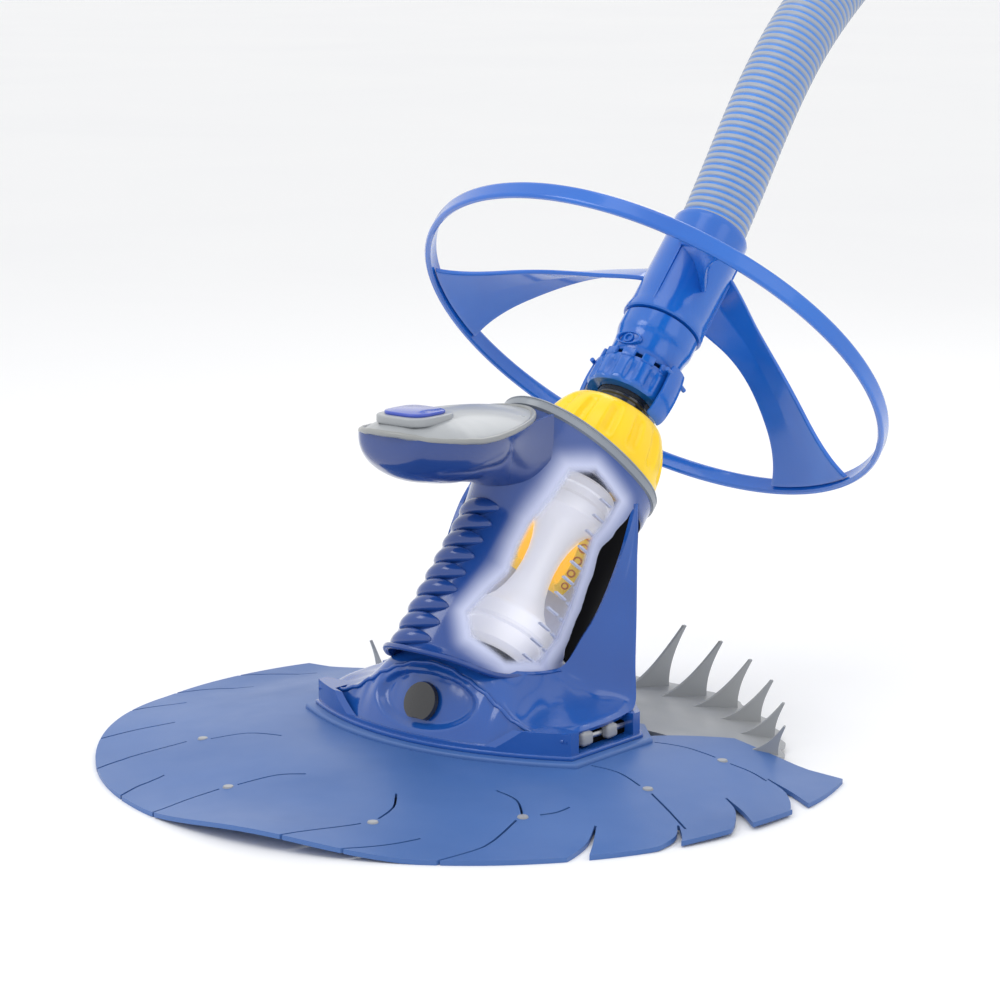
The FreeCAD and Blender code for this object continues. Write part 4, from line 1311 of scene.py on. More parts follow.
    def pane_distance(self, along: float, turn: float) -> float:
        """How far a place lies outside the clear pane, or inside it where negative.

        Args:
            along: Height up the axis.
            turn: Angle from +X towards the front, in degrees; a degree is about a millimetre.

        Returns:
            The distance.
        """
        nearest, crossings = math.inf, 0
        for (a, p), (b, q) in zip(self.pane, self.pane[1:] + self.pane[:1]):
            run = (b - a) ** 2 + (q - p) ** 2
            share = ((along - a) * (b - a) + (turn - p) * (q - p)) / run
            share = min(max(share, 0.0), 1.0)
            off = math.hypot(along - a - share * (b - a), turn - p - share * (q - p))
            nearest = min(nearest, off)
            if (p > turn) != (q > turn):
                crossings += along < a + (turn - p) / (q - p) * (b - a)
        return -nearest if crossings % 2 else nearest

    def clearness(self, point: Vector) -> tuple[float, float, float]:
        """How clear the shell is at a point, and how strong its frosted halo with painted glow and
        its painted hollow shade are.

        Args:
            point: A point of the shell in leaning millimetres.

        Returns:
            Clearness, frosted halo with painted glow, and painted hollow shade, 0 to 1.
        """
        if point.x < 0:
            return 0.0, 0.0, 0.0
        forward = -point.y
        ahead = self.reach if forward > 0 else self.half
        turn = math.degrees(math.atan2(forward / ahead, point.x / self.half))
        off = self.pane_distance(point.z, turn)
        fade = (1 - smooth(-3.0, 16.0, off)) ** 1.2
        return 1 - smooth(-4.0, 1.5, off), fade, self.hollow_painted_shade(point.z, turn)

    def shell(self) -> bmesh.types.BMesh:
        """The whole skin of the housing, open at its foot and top.

        Returns:
            The shell, with its wall.
        """
        def rule(u: float, v: float) -> Vector:
            """A point of the skin: u runs round it from the far side and v up the axis."""
            turn = FULL_TURN * u - math.pi
            x, forward = self.around(turn, self.foot_height)
            low = self.foot(forward)
            along = low + (self.top - low) * v
            x, forward = self.around(turn, along)
            flare = 1.0 + 0.03 * (1 - smooth(0.0, 0.05, v))
            # Set the shell in a little where the hollow's shade is painted black.
            flare -= 0.035 * self.hollow_painted_shade(along, math.degrees(turn))
            return Vector((x * flare, -forward * flare, along))

        return thickened(surface(rule, 300, 110), self.wall)

    def louvre(self, along: float) -> bmesh.types.BMesh:
        """One rolled hook at the prow, open on its upper side.

        Args:
            along: Its height up the axis.

        Returns:
            The hook.
        """
        first, last = self.louvre_turns
        start, end = self.louvre_roll

        def rule(u: float, v: float) -> Vector:
            """A point of the hook: u runs across the prow and v round the roll."""
            turn = math.radians(first + (last - first) * u)
            x, forward = self.around(turn, along)
            edge = math.sin(math.pi * u) ** 0.6
            roll = math.radians(start + (end - start) * v)
            out = 1.0 + (5.2 * edge * (math.cos(roll) + 0.2)) / self.reach
            rise = 6.4 * edge * math.sin(roll) - 5.0 * (u - 0.5)
            return Vector((x * out, -forward * out, along + rise))

        return thickened(surface(rule, 26, 16, 0.001), 1.3)

    def build(self) -> None:
        """Make the shell, louvres, lip and trim."""
        # Attributes for the clear pane, its frosted halo with painted glow, and the hollow's
        # painted shade.
        marks = {"clear": lambda point: self.clearness(point)[0],
                 "halo_painted_glow": lambda point: self.clearness(point)[1],
                 "hollow_painted_shade": lambda point: self.clearness(point)[2]}
        piece("housing_shell", self.shell(), LEANING, SHELL, "body",
              ["housing_left", "housing_right", "side_window"], marks=marks)
        places = evenly(self.first, self.last, self.louvres - 1)
        hooks = gathered([self.louvre(along) for along in places])
        piece("louvre_hooks", hooks, LEANING, LOUVRE, "body", ["louvres"],
              crease=60.0)
        self.lip()
        self.trim()
        self.inside()
        self.gap_painted_shade()

    def gap_painted_shade(self) -> None:
        """A dull black sheet of painted shade in the gap between the housing and the side wall."""
        low, high = self.hollow_edge[0][0] + 1.0, self.hollow_edge[-1][0] - 4.0

        def rule(u: float, v: float) -> Vector:
            """A point of the lining: u runs backwards from the hollow's edge and v up."""
            along = low + (high - low) * v
            edge = at_height(self.hollow_edge, along) - 1.0
            turn = math.radians(edge + (-84.0 - edge) * u)
            x, forward = self.around(turn, along)
            return Vector((x * 0.985, -forward * 0.985, along))

        piece("gap_painted_shade", thickened(surface(rule, 40, 60), 0.6), LEANING, SHADOW, "body")

    def lip(self) -> None:
        """The rolled bead round the housing's foot."""
        path = []
        for turn in evenly(0.0, FULL_TURN, 96)[:-1]:
            x, forward = self.around(turn, self.foot_height)
            path.append(Vector((x * 1.03, -forward * 1.03, self.foot(forward) + 1.0)))
        piece("housing_lip", round_bar(path, 2.0, True), LEANING, LOUVRE, "body")

    def trim(self) -> None:
        """The grey plate over the housing, with its groove and the nut's boss."""
        levels = len(self.trim_levels)
        rows = levels - 1 + self.trim_rings

        def rule(u: float, v: float) -> Vector:
            """A point of the plate: u runs round it and v up its rim, then in to its hole."""
            turn = FULL_TURN * u
            row = round(v * rows)
            x, forward = self.around(turn, self.top)
            grow, along = self.trim_levels[min(row, levels - 1)]
            scale = 1 + grow / self.half
            edge = Vector((x * scale, -forward * scale, along))
            ring = self.boss_radius * Vector((math.cos(turn), -math.sin(turn), 0.0))
            ring.z = along + 0.2
            return edge.lerp(ring, max(row - levels + 1, 0) / self.trim_rings)

        piece("trim_plate", thickened(surface(rule, 144, rows), 1.6), LEANING, TRIM, "body",
              ["top_trim"])

    def inside(self) -> None:
        """The diaphragm, its seats, the yellow saddle and the pale ribbed carrier."""
        inner = [(max(r - self.diaphragm_wall, 8.0), z) for r, z in reversed(self.diaphragm)]
        piece("diaphragm_tube", spun([*self.diaphragm, *inner], 72), LEANING, MILKY, "body",
              ["diaphragm"], crease=26.0)
        self.saddle()
        self.carrier()

    def saddle(self) -> None:
        """The yellow saddle behind the diaphragm's neck, with orange sockets in its end."""
        limb = math.radians(self.saddle_edge)

        def rule(u: float, v: float) -> Vector:
            """A point of the saddle: u runs round behind the neck and v up the axis."""
            turn = limb - math.radians(self.saddle_wrap * u)
            out = 20.0 + 6.5 * math.sin(math.pi * v) ** 0.45
            length = 51.0 - 16.0 * math.sin(math.pi * u)
            along = self.saddle_middle + (v - 0.5) * length + 3.0 * (2 * u - 1)
            return Vector((out * math.cos(turn), -out * math.sin(turn), along))

        shell = softened(thickened(surface(rule, 48, 20), 8.0), 1.2, 2, 60.0)
        piece("saddle_shell", shell, LEANING, SADDLE, "body", ["saddle"])
        facing = Vector((-math.sin(limb), -math.cos(limb), 0.0))
        upright = facing.to_track_quat("Z", "Y").to_matrix().to_4x4()
        sockets = []
        for share in evenly(0.0, 1.0, self.sockets - 1):
            radius = 2.3 + 1.2 * share
            socket = spun([(AXIS_POINT, -1.2), (radius - 0.9, -1.0), (radius - 0.8, 0.5),
                           (radius, 0.9), (radius + 0.4, 0.2), (radius + 0.4, -3),
                           (AXIS_POINT, -3)], 24)
            place = Vector((21.5 * math.cos(limb), -21.5 * math.sin(limb), 146.0 + 40.0 * share))
            bmesh.ops.transform(socket, matrix=Matrix.Translation(place) @ upright,
                                verts=socket.verts[:])
            sockets.append(socket)
        piece("saddle_sockets", gathered(sockets), LEANING, ORANGE, "body")

    def carrier(self) -> None:
        """The pale carrier behind the diaphragm, with ladder ribs."""
        first, last = self.carrier_turns
        low, high = self.carrier_span

        def rule(u: float, v: float) -> Vector:
            """A point of the carrier: u runs round the far side and v up the axis."""
            turn = math.radians(first + (last - first) * u)
            along = low + (high - low) * v
            x, forward = self.around(turn, along)
            return Vector((x * 0.72, -forward * 0.80, along))

        back = thickened(surface(rule, 60, 24), 1.5)
        ribs = []
        for along in evenly(low + 2.0, high - 10.0, self.ribs - 1):
            for turn in (4.0, 15.0):
                x, forward = self.around(math.radians(turn), along)
                centre = Vector((x * 0.90, -forward * 0.90, along))
                spin = Matrix.Rotation(math.radians(-turn), 4, "Z")
                rib = rounded_block(Vector(self.rib), Vector((0, 0, 0)), 0.4, spin)
                bmesh.ops.translate(rib, verts=rib.verts[:], vec=centre)
                ribs.append(rib)
        piece("carrier_shell", gathered([back] + ribs), LEANING, PALE, "body",
              ["cassette_frame", "lower_ring", "upper_ring"])


# ---------------------------------------------------------------- handle


@dataclass
class Handle:
    """The duck-bill handle: navy bowl and neck, domed grey cover, pad and blank badge.

    Attributes:
        stations: Sections from the tip to the neck, as (place, half width, bottom, rim).
        cover_rear: Where the cover ends at the rear.
        cover_middle: Where it is widest.
        cover_front: Its reach from there to the tip.
        cover_half: Half its width.
        cover_base: Height of its dome's foot in the middle.
        dome: How far the dome rises.
        badge_place: Middle of the pad and its plate.
        pad: The pad's half width, half length, underside and thickness.
        plate: The plate's, the same way.
        foam_size: Size of the float foam.
        foam_middle: Its middle.
        bowl_wall: The bowl's thickness.
        cover_wall: The cover's thickness.
    """

    stations: tuple = ((-86, 0.02, 220.9, 221), (-83, 21, 203, 220), (-76, 31, 195, 218),
                       (-66, 38, 189, 217), (-54, 42, 186, 216), (-42, 43.5, 184, 215),
                       (-29, 43, 183, 215), (-15, 41, 181, 216), (-1, 37, 178, 217),
                       (14, 34, 173, 218), (30, 32, 166, 219), (44, 31, 162, 220))
    cover_rear: float = 47.0
    cover_middle: float = -36.0
    cover_front: float = 51.0
    cover_half: float = 44.0
    cover_base: float = 219.0
    dome: float = 11.0
    badge_place: float = -57.0
    pad: tuple[float, float, float, float] = (20.5, 21.0, 225.5, 5.5)
    plate: tuple[float, float, float, float] = (16.8, 16.2, 230.6, 2.6)
    foam_size: tuple[float, float, float] = (50.0, 60.0, 10.0)
    foam_middle: tuple[float, float, float] = (0.0, -36.0, 207.0)
    bowl_wall: float = 2.2
    cover_wall: float = 2.0

    def bowl(self) -> bmesh.types.BMesh:
        """The bowl and the neck that runs back into the housing.

        Returns:
            The shell, with its wall.
        """
        def rule(u: float, v: float) -> Vector:
            """A point of the bowl: u runs from rim to rim and v backwards from the tip."""
            y, half, bottom, rim = through(self.stations, v)
            turn = math.pi * (u - 0.5)
            z = rim - (rim - bottom) * abs(math.cos(turn)) ** 0.75
            return Vector((half * math.sin(turn), y, z))

        return thickened(surface(rule, 56, 64), self.bowl_wall)

    def edge(self, turn: float) -> Vector:
        """A point of the cover's edge.

        Args:
            turn: Angle round the cover; a quarter turn is +X.

        Returns:
            The point.
        """
        back = math.cos(turn) > 0
        reach = (self.cover_rear - self.cover_middle) if back else self.cover_front
        y = self.cover_middle + reach * math.cos(turn)
        wide = abs(math.sin(turn)) ** (1.12 if back else 0.92)
        rims = [(place, rim) for place, _, _, rim in self.stations]
        return Vector((math.copysign(self.cover_half * wide, math.sin(turn)), y,
                       at_height(rims, y) + 1.0))

    def cover(self) -> bmesh.types.BMesh:
        """The domed cover inside its rim.

        Returns:
            The cover, with its wall.
        """
        def rule(u: float, v: float) -> Vector:
            """A point of the dome: u runs round it and v out to its edge."""
            rim = self.edge(FULL_TURN * u)
            centre = Vector((0, self.cover_middle - 4.0, rim.z))
            point = centre.lerp(rim, v)
            point.z = self.cover_base + (rim.z - self.cover_base) * v * v
            point.z += self.dome * (1 - v ** 2.4)
            return point

        return thickened(surface(rule, 96, 24), self.cover_wall)

    def build(self) -> None:
        """Make the handle's pieces."""
        piece("bowl_and_neck", self.bowl(), UPRIGHT, NAVY, "body", ["handle_bowl"])
        piece("cover_dome", self.cover(), UPRIGHT, COVER, "body", ["handle_cover"])
        block = rounded_block(Vector(self.foam_size), Vector(self.foam_middle), 4.0)
        piece("float_foam", block, UPRIGHT, FOAM, "body", ["float_block"])
        rim = [self.edge(turn) for turn in evenly(0.0, FULL_TURN, 120)[:-1]]
        piece("cover_rim", round_bar(rim, 2.0, True), UPRIGHT, RIM, "body")
        self.badge()

    def badge(self) -> None:
        """The raised pad and its blank rounded plate."""
        piece("pad_block", self.plaque(*self.pad), UPRIGHT, COVER, "body", ["handle_pad"])
        piece("plate_block", self.plaque(*self.plate), UPRIGHT, PLATE, "body", ["badge_plate"])

    def plaque(self, half_x: float, half_y: float, low: float,
               thick: float) -> bmesh.types.BMesh:
        """A flat plaque with a squarish rounded outline, near the handle's tip.

        Args:
            half_x: Half its width.
            half_y: Half its length.
            low: Height of its underside.
            thick: Its thickness.

        Returns:
            The plaque.
        """
        outline = []
        for turn in evenly(0.0, FULL_TURN, 64)[:-1]:
            x = half_x * math.copysign(abs(math.cos(turn)) ** 0.55, math.cos(turn))
            y = half_y * math.copysign(abs(math.sin(turn)) ** 0.55, math.sin(turn))
            outline.append(Vector((x, y + self.badge_place, low)))
        return softened(outline_prism(outline, Vector((0, 0, thick))), 1.1, 3, 50.0)


# ---------------------------------------------------------------- nut, pipe and cuff


@dataclass
class SwivelGroup:
    """Everything on the pipe's axis: the nut, the dark pipe, the collar with levers and the cuff.

    Attributes:
        nut_base: Height of the nut's foot, up the axis.
        nut_top: Height of its top.
        nut_radius: Radius of its foot.
        nut_top_radius: Radius of its top.
        nut_lip: Share of its section that is its flat foot.
        nut_wall: Its thickness.
        flutes: Flutes round the nut.
        flute_depth: Depth of a flute.
        pipe: The pipe's (radius, height) profile.
        wiper: The wiper ring's profile.
        collar_low: Height of the collar's foot, up the axis.
        collar_high: Height of its top.
        collar_levels: Its section, as (radius, share of its height).
        grips: Oval grips round the collar.
        grip_depth: Depth of a grip.
        lever_path: A lever's section, as (distance from the axis, height up it).
        lever_half: Half a lever's width.
        cuff_profile: The cuff's profile.
        cuff_mark: Where the small marks stand on the cuff, as distance and height.
    """

    nut_base: float = 229.0
    nut_top: float = 272.0
    nut_radius: float = 47.0
    nut_top_radius: float = 25.5
    nut_lip: float = 0.12
    nut_wall: float = 2.5
    flutes: int = 14
    flute_depth: float = 3.4
    pipe: tuple = ((16.5, 222), (19.5, 222), (19.5, 280.5), (20.4, 281.5), (20.4, 283),
                   (19.5, 284), (19.5, 336), (16.5, 336))
    wiper: tuple = ((19.6, 272.2), (22.6, 272.2), (23.0, 273.0), (22.6, 274.6), (19.6, 275.4))
    collar_low: float = 287.0
    collar_high: float = 309.0
    collar_levels: tuple = (
        (20.0, 0.0), (27.5, 0.0), (28.9, 0.06), (29.4, 0.12), (29.4, 0.25), (29.4, 0.4),
        (29.4, 0.55), (29.4, 0.7), (29.2, 0.84), (28.2, 0.93), (27.0, 1.0), (25.6, 1.0))
    grips: int = 12
    grip_depth: float = 2.6
    lever_path: tuple = ((31.0, 275.0), (33.6, 279.0), (35.2, 287.0), (35.8, 297.0),
                         (35.2, 307.0), (34.6, 311.5), (33.8, 316.0))
    lever_half: float = 9.0
    cuff_profile: tuple = (
        (19.6, 313), (24.4, 313), (25.0, 314), (25.2, 322), (25.6, 328), (26.4, 332.0),
        (27.3, 335.0), (27.5, 337), (27.5, 346.6), (26.2, 347.8), (24.9, 348.0), (24.9, 427),
        (19.6, 427))
    cuff_mark: tuple[float, float] = (25.9, 322.0)

    def nut(self) -> bmesh.types.BMesh:
        """The domed nut with tapered flutes.

        Returns:
            The nut, with its wall.
        """
        rise = self.nut_top - self.nut_base
        shoulder = 0.94

        def rule(u: float, v: float) -> Vector:
            """A point of the nut: u runs round it, and v out along its foot and up its dome."""
            turn = FULL_TURN * u
            if v < self.nut_lip:
                away = self.nut_radius - 3.0 * (1 - v / self.nut_lip)
                return Vector((away * math.cos(turn), away * math.sin(turn), self.nut_base))
            share = (v - self.nut_lip) / (1 - self.nut_lip)
            along = self.nut_base + rise * min(share * 1.06, 1.0)
            fall = max(1 - (share * shoulder) ** 2.1, 0.0) ** 0.62
            away = self.nut_top_radius + (self.nut_radius - self.nut_top_radius) * fall
            if share > shoulder:
                away = self.nut_top_radius - (share - shoulder) * 90
            wave = smooth(0.45, 0.95, 0.5 + 0.5 * math.cos(self.flutes * turn))
            ends = smooth(0.16, 0.34, share) * (1 - smooth(0.70, 0.86, share))
            away -= self.flute_depth * wave * ends
            return Vector((away * math.cos(turn), away * math.sin(turn), along))

        return thickened(surface(rule, 196, 48), self.nut_wall)

    def collar(self) -> bmesh.types.BMesh:
        """The locking collar with oval grips and a toothed crown.

        Returns:
            The collar and its teeth.
        """
        rows = len(self.collar_levels) - 1
        rise = self.collar_high - self.collar_low

        def rule(u: float, v: float) -> Vector:
            """A point of the collar: u runs round it and v through its section's levels."""
            turn = FULL_TURN * u
            away, share = self.collar_levels[round(v * rows)]
            wave = smooth(0.35, 0.9, 0.5 + 0.5 * math.cos(self.grips * turn))
            away -= self.grip_depth * wave * math.sin(math.pi * share) ** 0.8
            return Vector((away * math.cos(turn), away * math.sin(turn),
                           self.collar_low + rise * share))

        body = thickened(surface(rule, 144, rows), 1.8)
        teeth = []
        for index in range(self.grips):
            turn = Matrix.Rotation(FULL_TURN * (index + 0.5) / self.grips, 4, "Z")
            centre = Vector((27.4, 0, self.collar_high + 1.0))
            teeth.append(rounded_block(Vector((3.0, 9.5, 6.5)), centre, 0.9, turn))
        return gathered([body] + teeth)

    def lever(self, side: int) -> bmesh.types.BMesh:
        """One strap-like locking lever.

        Args:
            side: 1 for +X, -1 for the other.

        Returns:
            The lever.
        """
        def rule(u: float, v: float) -> Vector:
            """A point of the strap: u runs across it and v up the axis."""
            away, along = through(self.lever_path, v)
            y = (2 * u - 1) * (self.lever_half - 1.8 * (2 * v - 1) ** 4)
            away -= 0.022 * y * y
            return Vector((side * away, y, along))

        return softened(thickened(surface(rule, 12, 30), 3.0), 0.7, 2, 60.0)

    def build(self) -> None:
        """Make the group's pieces."""
        piece("fluted_nut", self.nut(), LEANING, YELLOW, "nut", ["hand_nut"],
              crease=50.0)
        piece("dark_pipe", spun(self.pipe, 72), LEANING, PIPE, "swivel", ["swivel_pipe"])
        piece("pipe_wiper", spun(self.wiper, 72), LEANING, PIPE, "swivel")
        piece("toothed_collar", self.collar(), LEANING, AZURE, "collar", ["lock_collar"])
        for name, side in (("lever_right", 1), ("lever_left", -1)):
            piece("strap_" + name, self.lever(side), LEANING, AZURE, name, ["lock_" + name])
        self.cuff()

    def cuff(self) -> None:
        """The cuff above the collar with its shoulder, and small moulded marks."""
        away, along = self.cuff_mark
        outward = Matrix.Translation(Vector((away, 0, along))) @ Matrix.Rotation(
            FULL_TURN / 4, 4, "Y")
        marks = []
        for turn in (-90.0, 90.0):
            place = Matrix.Rotation(math.radians(turn), 4, "Z") @ outward
            for radius, stretch in ((3.0, (1.0, 1.0, 1.0)), (6.2, (0.75, 1.5, 1.0))):
                mark = spun([(radius - 0.7, 0.0), (radius - 0.5, 0.8), (radius + 0.5, 0.8),
                             (radius + 0.7, 0.0), (radius + 0.7, -1.5), (radius - 0.7, -1.5)], 32)
                bmesh.ops.scale(mark, verts=mark.verts[:], vec=stretch)
                bmesh.ops.transform(mark, matrix=place, verts=mark.verts[:])
                marks.append(mark)
        body = spun(self.cuff_profile, 96)
        piece("shouldered_cuff", gathered([body] + marks), LEANING, AZURE, "swivel",
              ["hose_cuff"])


# ---------------------------------------------------------------- deflector wheel


@dataclass
class DeflectorWheel:
    """The deflector wheel: flared sleeve, thin ring and three broad creased spokes.

    Attributes:
        radius: The ring's outer radius.
        height: Height of the ring's middle, up the axis.
        band: The ring's width.
        sleeve_low: Height of the sleeve's foot, up the axis.
        sleeve_high: Height of its top.
        sleeve_bore: Its inner radius.
        spokes: How many spokes.
        first: Direction of the first spoke, in degrees from +X towards the front.
        hub_radius: Where a spoke starts.
        hub_height: Height at which it starts.
        spoke_wall: Its thickness.
        spoke_bow: How far it bows upwards.
        spoke_twist: How steeply it stands at the hub, as half its rise across.
        spoke_crease: Height of the crease down its middle.
    """

    radius: float = 173.0
    height: float = 334.0
    band: float = 12.0
    sleeve_low: float = 348.5
    sleeve_high: float = 433.0
    sleeve_bore: float = 25.1
    spokes: int = 3
    first: float = 50.0
    hub_radius: float = 27.0
    hub_height: float = 392.0
    spoke_wall: float = 3.2
    spoke_bow: float = 9.0
    spoke_twist: float = 15.0
    spoke_crease: float = 3.2

    def sleeve(self) -> bmesh.types.BMesh:
        """The sleeve with flared foot and a thin rib line down each side.

        Returns:
            The sleeve and its ribs.
        """
        low, high, bore = self.sleeve_low, self.sleeve_high, self.sleeve_bore
        body = spun([(bore, low), (28.6, low), (29.4, low + 1), (29.4, low + 4), (28.2, low + 8),
                     (27.8, low + 14), (27.6, high - 8), (27.8, high - 5), (27.8, high - 2),
                     (26.8, high), (bore, high)], 96)
        ribs = []
        for turn in (40.0, 160.0, 280.0):
            spin = Matrix.Rotation(math.radians(turn), 4, "Z")
            ribs.append(rounded_block(Vector((1.6, 1.6, 62)), Vector((27.9, 0, 386)), 0.6, spin))
        return gathered([body] + ribs)

    def rim(self) -> bmesh.types.BMesh:
        """The ring, a band with rounded edges and a shallow outer channel.

        Returns:
            The ring.
        """
        half = self.band / 2
        upper = ((0.7, 0.0), (0.0, half - 2.6), (0.3, half - 1.0), (1.4, half), (3.4, half - 0.2),
                 (4.6, half - 1.5), (4.0, 0.0))
        lower = [(inset, -rise) for inset, rise in upper[-2:0:-1]]
        return spun([(self.radius - inset, self.height + rise) for inset, rise in (*upper, *lower)],
                    192)

    def spoke(self, turn: float) -> bmesh.types.BMesh:
        """One broad spoke, steep at the hub and flat where it meets the ring.

        Args:
            turn: Its direction in degrees, from +X towards the front.

        Returns:
            The spoke.
        """
        hub, rim = self.hub_radius, self.radius - 4.4

        def rule(u: float, v: float) -> Vector:
            """A point of the spoke: u runs across it and v out to the ring."""
            side = 2 * u - 1
            half = 17.0 - 5.0 * smooth(0.0, 0.28, v) + 4.0 * smooth(0.3, 0.7, v) + 26.0 * v ** 5
            away = hub + (rim - hub) * v
            along = self.hub_height + (self.height - self.hub_height) * v
            along += self.spoke_bow * math.sin(math.pi * v) ** 1.2
            along -= self.spoke_twist * side * (1 - v) ** 1.6
            along += self.spoke_crease * (1 - abs(side)) * (1 - v) ** 1.3
            angle = -math.radians(turn) + side * min(half / away, 0.6)
            return Vector((away * math.cos(angle), away * math.sin(angle), along))

        return softened(thickened(surface(rule, 24, 48, 0.005), self.spoke_wall), 0.9, 2, 60.0)

    def build(self) -> None:
        """Make the wheel's pieces."""
        piece("flared_sleeve", self.sleeve(), LEANING, AZURE, "wheel", ["wheel_sleeve"])
        piece("deflector_ring", self.rim(), LEANING, RING, "wheel", ["wheel_ring"])
        for index in range(self.spokes):
            spoke = self.spoke(self.first + 360.0 * index / self.spokes)
            number = index + 1
            piece(f"broad_spoke_{number}", spoke, LEANING, RING, "wheel",
                  [f"wheel_spoke_{number}"])


# ---------------------------------------------------------------- hose


@dataclass
class LeaderHose:
    """The ribbed leader hose and the cuff on its far end.

    Attributes:
        route: Points of its middle line, as metres up the axis and in front of it.
        radius: Its outer radius.
        groove: Depth of a groove.
        pitch: Length of a rib and its groove.
        rows: Rows of faces in a pitch.
        sides: Facets round it.
        cuff: The far cuff's (radius, distance from the hose's end) profile.
    """

    route: tuple = ((0.4294, 0.0002), (0.466, 0.0035), (0.508, 0.0095), (0.552, 0.014),
                    (0.598, 0.014), (0.645, 0.007), (0.690, -0.004), (0.731, -0.018))
    radius: float = 24.0
    groove: float = 1.7
    pitch: float = 5.2
    rows: int = 8
    sides: int = 48
    cuff: tuple = ((19, 0), (24, 0), (26.4, 1), (27, 2), (27, 16), (25.6, 18.4), (24.6, 20),
                   (24.6, 60), (24, 62), (19, 62))

    def centres(self) -> list[Vector]:
        """Points read along the route's own smooth spline, in millimetres.

        Returns:
            The hose's middle line in upright millimetres.
        """
        curve = bpy.data.curves.new("hose_route", "CURVE")
        curve.dimensions = "3D"
        curve.resolution_u = 40
        spline = curve.splines.new("NURBS")
        spline.points.add(len(self.route) - 1)
        for point, (along, forward) in zip(spline.points, self.route):
            point.co = (*(leaning(0.0, forward / MM, along / MM) * MM), 1.0)
        spline.order_u = 3
        spline.use_endpoint_u = True
        holder = bpy.data.objects.new("hose_route", curve)
        line = bpy.data.meshes.new_from_object(holder)
        points = [vert.co / MM for vert in line.vertices]
        bpy.data.objects.remove(holder)
        bpy.data.meshes.remove(line)
        bpy.data.curves.remove(curve)
        return points

    def build(self) -> None:
        points = self.centres()
        runs = [0.0]
        for before, after in zip(points, points[1:]):
            runs.append(runs[-1] + (after - before).length)
        length = runs[-1]
        ribs = round(length / self.pitch)
        steps = ribs * self.rows

        def at(distance: float) -> tuple[Vector, Vector]:
            """The point at a distance along the hose, and the hose's direction there."""
            index = 0
            while index < len(runs) - 2 and runs[index + 1] < distance:
                index += 1
            share = (distance - runs[index]) / (runs[index + 1] - runs[index])
            run = (points[index + 1] - points[index]).normalized()
            return points[index].lerp(points[index + 1], share), run

        stations = [at(length * step / steps) for step in range(steps + 1)]

        line = [centre for centre, _ in stations]
        side = Vector((1, 0, 0))

        def rule(u: float, v: float) -> Vector:
            """A point of the hose: u runs round it and v along it."""
            step = round(v * steps)
            centre, run = stations[step]
            phase = (step % self.rows) / self.rows
            dip = self.groove * smooth(0.52, 0.66, phase) * (1 - smooth(0.88, 1.0, phase))
            turn = FULL_TURN * u
            round_it = side * math.cos(turn) + run.cross(side) * math.sin(turn)
            return centre + (self.radius - dip) * round_it

        def groove(point: Vector) -> float:
            """How far a point of the hose lies in a groove, 0 to 1."""
            near = min(range(0, len(line), self.rows), key=lambda i: (line[i] - point).length)
            window = range(max(near - self.rows, 0), min(near + self.rows, len(line) - 1) + 1)
            best = min(window, key=lambda i: abs((point - line[i]).dot(stations[i][1])))
            phase = (best % self.rows) / self.rows
            return smooth(0.45, 0.6, phase) * (1 - smooth(0.92, 1.0, phase))

        hose = piece("ribbed_hose", surface(rule, self.sides, steps, 0.01), UPRIGHT, HOSE,
                     "swivel", ["hose"], marks={"groove": groove}, crease=80.0)
        cuff = self.far_cuff(points[-1], (points[-1] - points[-2]).normalized())
        path = [point * MM for point in points[::8] + points[-1:]]
        tuple(path[0])

    def far_cuff(self, place: Vector, run: Vector) -> bpy.types.Object:
        """The smooth cuff that joins the next hose section.

        Args:
            place: The hose's end.
            run: The direction in which it leaves.

        Returns:
            The cuff.
        """
        body = spun(self.cuff, 72)
        turn = run.to_track_quat("Z", "Y").to_matrix().to_4x4()
        body.transform(Matrix.Translation(place) @ turn)
        return piece("far_cuff_moulding", body, UPRIGHT, TRIM, "swivel", ["far_cuff"])


# ---------------------------------------------------------------- plain nodes and studio


KEPT_NODES: dict[str, Moulding] = {
    "foot_pad": BLACK, "disc_retainer": BLACK, "chassis_base": CHASSIS, "throat_tube": BLACK,
    "ballast_weights": IRON, "latch_pin_right": STEEL, "latch_pin_left": STEEL,
    "swivel_bush": BUSH, "cuff_seal": BLACK, "lever_pins": AZURE,
    "foot_screws": STEEL}


def dress_kept_nodes() -> None:
    """Give each carried-over node its finish."""
    for name, finish in KEPT_NODES.items():
        node = frame["nodes"][name]
        node.data.materials.clear()
        node.data.materials.append(finish.material())
        LOG.info("%s keeps its shape", name)


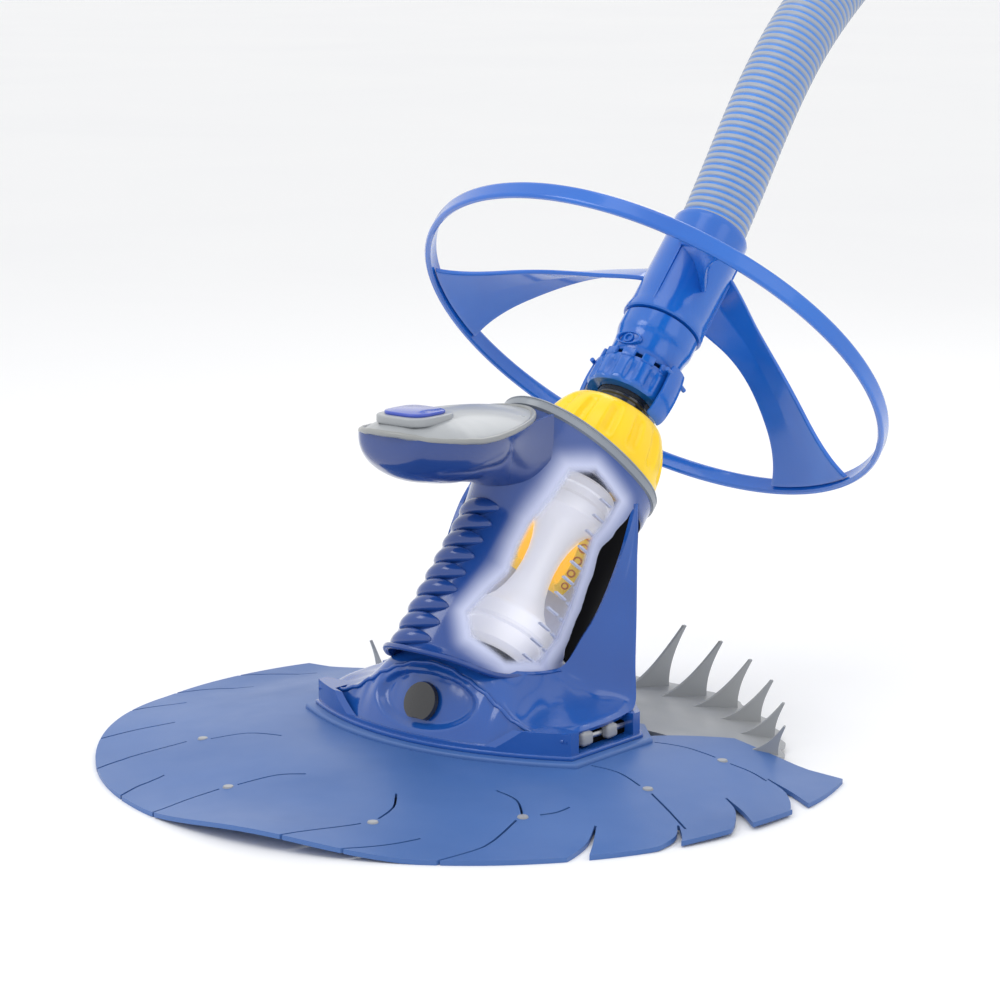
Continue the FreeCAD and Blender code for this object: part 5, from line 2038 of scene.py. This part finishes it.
@dataclass
class Studio:
    """The camera, floor and soft lights.

    Attributes:
        target: What the camera and lights face, in metres.
        distance: How far the camera stands from it.
        azimuth: The camera's direction round the object.
        elevation: Its height angle.
        lens: Its focal length.
        shift: The picture's shift, right and up.
        sky: Strength of the white surroundings.
        lights: Each soft light's name, azimuth, elevation, distance, side and power.
    """

    target: Vector = field(default_factory=lambda: Vector((0.0, 0.040, 0.150)))
    distance: float = 2.0
    azimuth: float = 39.64
    elevation: float = 11.57
    lens: float = 109.5
    shift: tuple[float, float] = (-0.0134, 0.0233)
    sky: float = 0.97
    lights: tuple = (("key_left", -25.0, 50.0, 1.6, 0.7, 4.5),
                     ("fill_right", 95.0, 30.0, 1.9, 0.9, 1.5),
                     ("top", 30.0, 85.0, 1.7, 0.8, 2.0),
                     ("rim_back", 200.0, 40.0, 1.8, 0.7, 3.0))

    def away(self, azimuth: float, elevation: float, distance: float) -> Vector:
        """A place away from the target.

        Args:
            azimuth: Direction round the object, in degrees; 0 is the front.
            elevation: Height angle, in degrees.
            distance: How far.

        Returns:
            The place, in metres.
        """
        a, e = math.radians(azimuth), math.radians(elevation)
        run = Vector((math.sin(a) * math.cos(e), -math.cos(a) * math.cos(e), math.sin(e)))
        return self.target + run * distance

    def camera(self) -> None:
        """Place the camera."""
        data = bpy.data.cameras.new("studio_camera")
        data.lens = self.lens
        data.sensor_width = 36.0
        data.shift_x, data.shift_y = self.shift
        camera = bpy.data.objects.new("studio_camera", data)
        camera.location = self.away(self.azimuth, self.elevation, self.distance)
        camera.rotation_euler = (self.target - camera.location).to_track_quat("-Z", "Y").to_euler()
        bpy.context.scene.collection.objects.link(camera)
        bpy.context.scene.camera = camera

    def light(self, name: str, azimuth: float, elevation: float, distance: float, size: float,
              power: float) -> None:
        """Add one soft light that faces the target.

        Args:
            name: Its name.
            azimuth: Direction round the object.
            elevation: Height angle.
            distance: How far from the target.
            size: Its side.
            power: Its power in watts.
        """
        data = bpy.data.lights.new(name, "AREA")
        data.shape = "SQUARE"
        data.size = size
        data.energy = power
        light = bpy.data.objects.new(name, data)
        light.location = self.away(azimuth, elevation, distance)
        light.rotation_euler = (self.target - light.location).to_track_quat("-Z", "Y").to_euler()
        bpy.context.scene.collection.objects.link(light)

    def floor(self) -> None:
        """Lay the pale floor."""
        mesh = bmesh.new()
        bmesh.ops.create_grid(mesh, x_segments=4, y_segments=4, size=40.0)
        data = bpy.data.meshes.new("studio_floor")
        mesh.to_mesh(data)
        mesh.free()
        floor = bpy.data.objects.new("studio_floor", data)
        data.materials.append(FLOOR.material())
        bpy.context.scene.collection.objects.link(floor)

    def build(self) -> None:
        """Set up the camera, floor, lights and world."""
        self.camera()
        self.floor()
        world = bpy.data.worlds.new("studio_world")
        world.use_nodes = True
        sky = world.node_tree.nodes["Background"].inputs
        sky["Color"].default_value = (1.0, 1.0, 1.0, 1.0)
        sky["Strength"].default_value = self.sky
        bpy.context.scene.world = world
        for light in self.lights:
            self.light(*light)
        bpy.context.scene.view_settings.view_transform = "Standard"


def main() -> None:
    """Build the studio and every sub-assembly, in order."""
    logging.basicConfig(level=logging.INFO, format="%(name)s %(message)s")
    Studio().build()
    for assembly in (LeaderHose(), DeflectorWheel(), SwivelGroup(), Housing(), Handle(),
                     Chassis(), Skirt(), FinnedSkirt()):
        assembly.build()
    dress_kept_nodes()


if __name__ == "__main__":
    main()
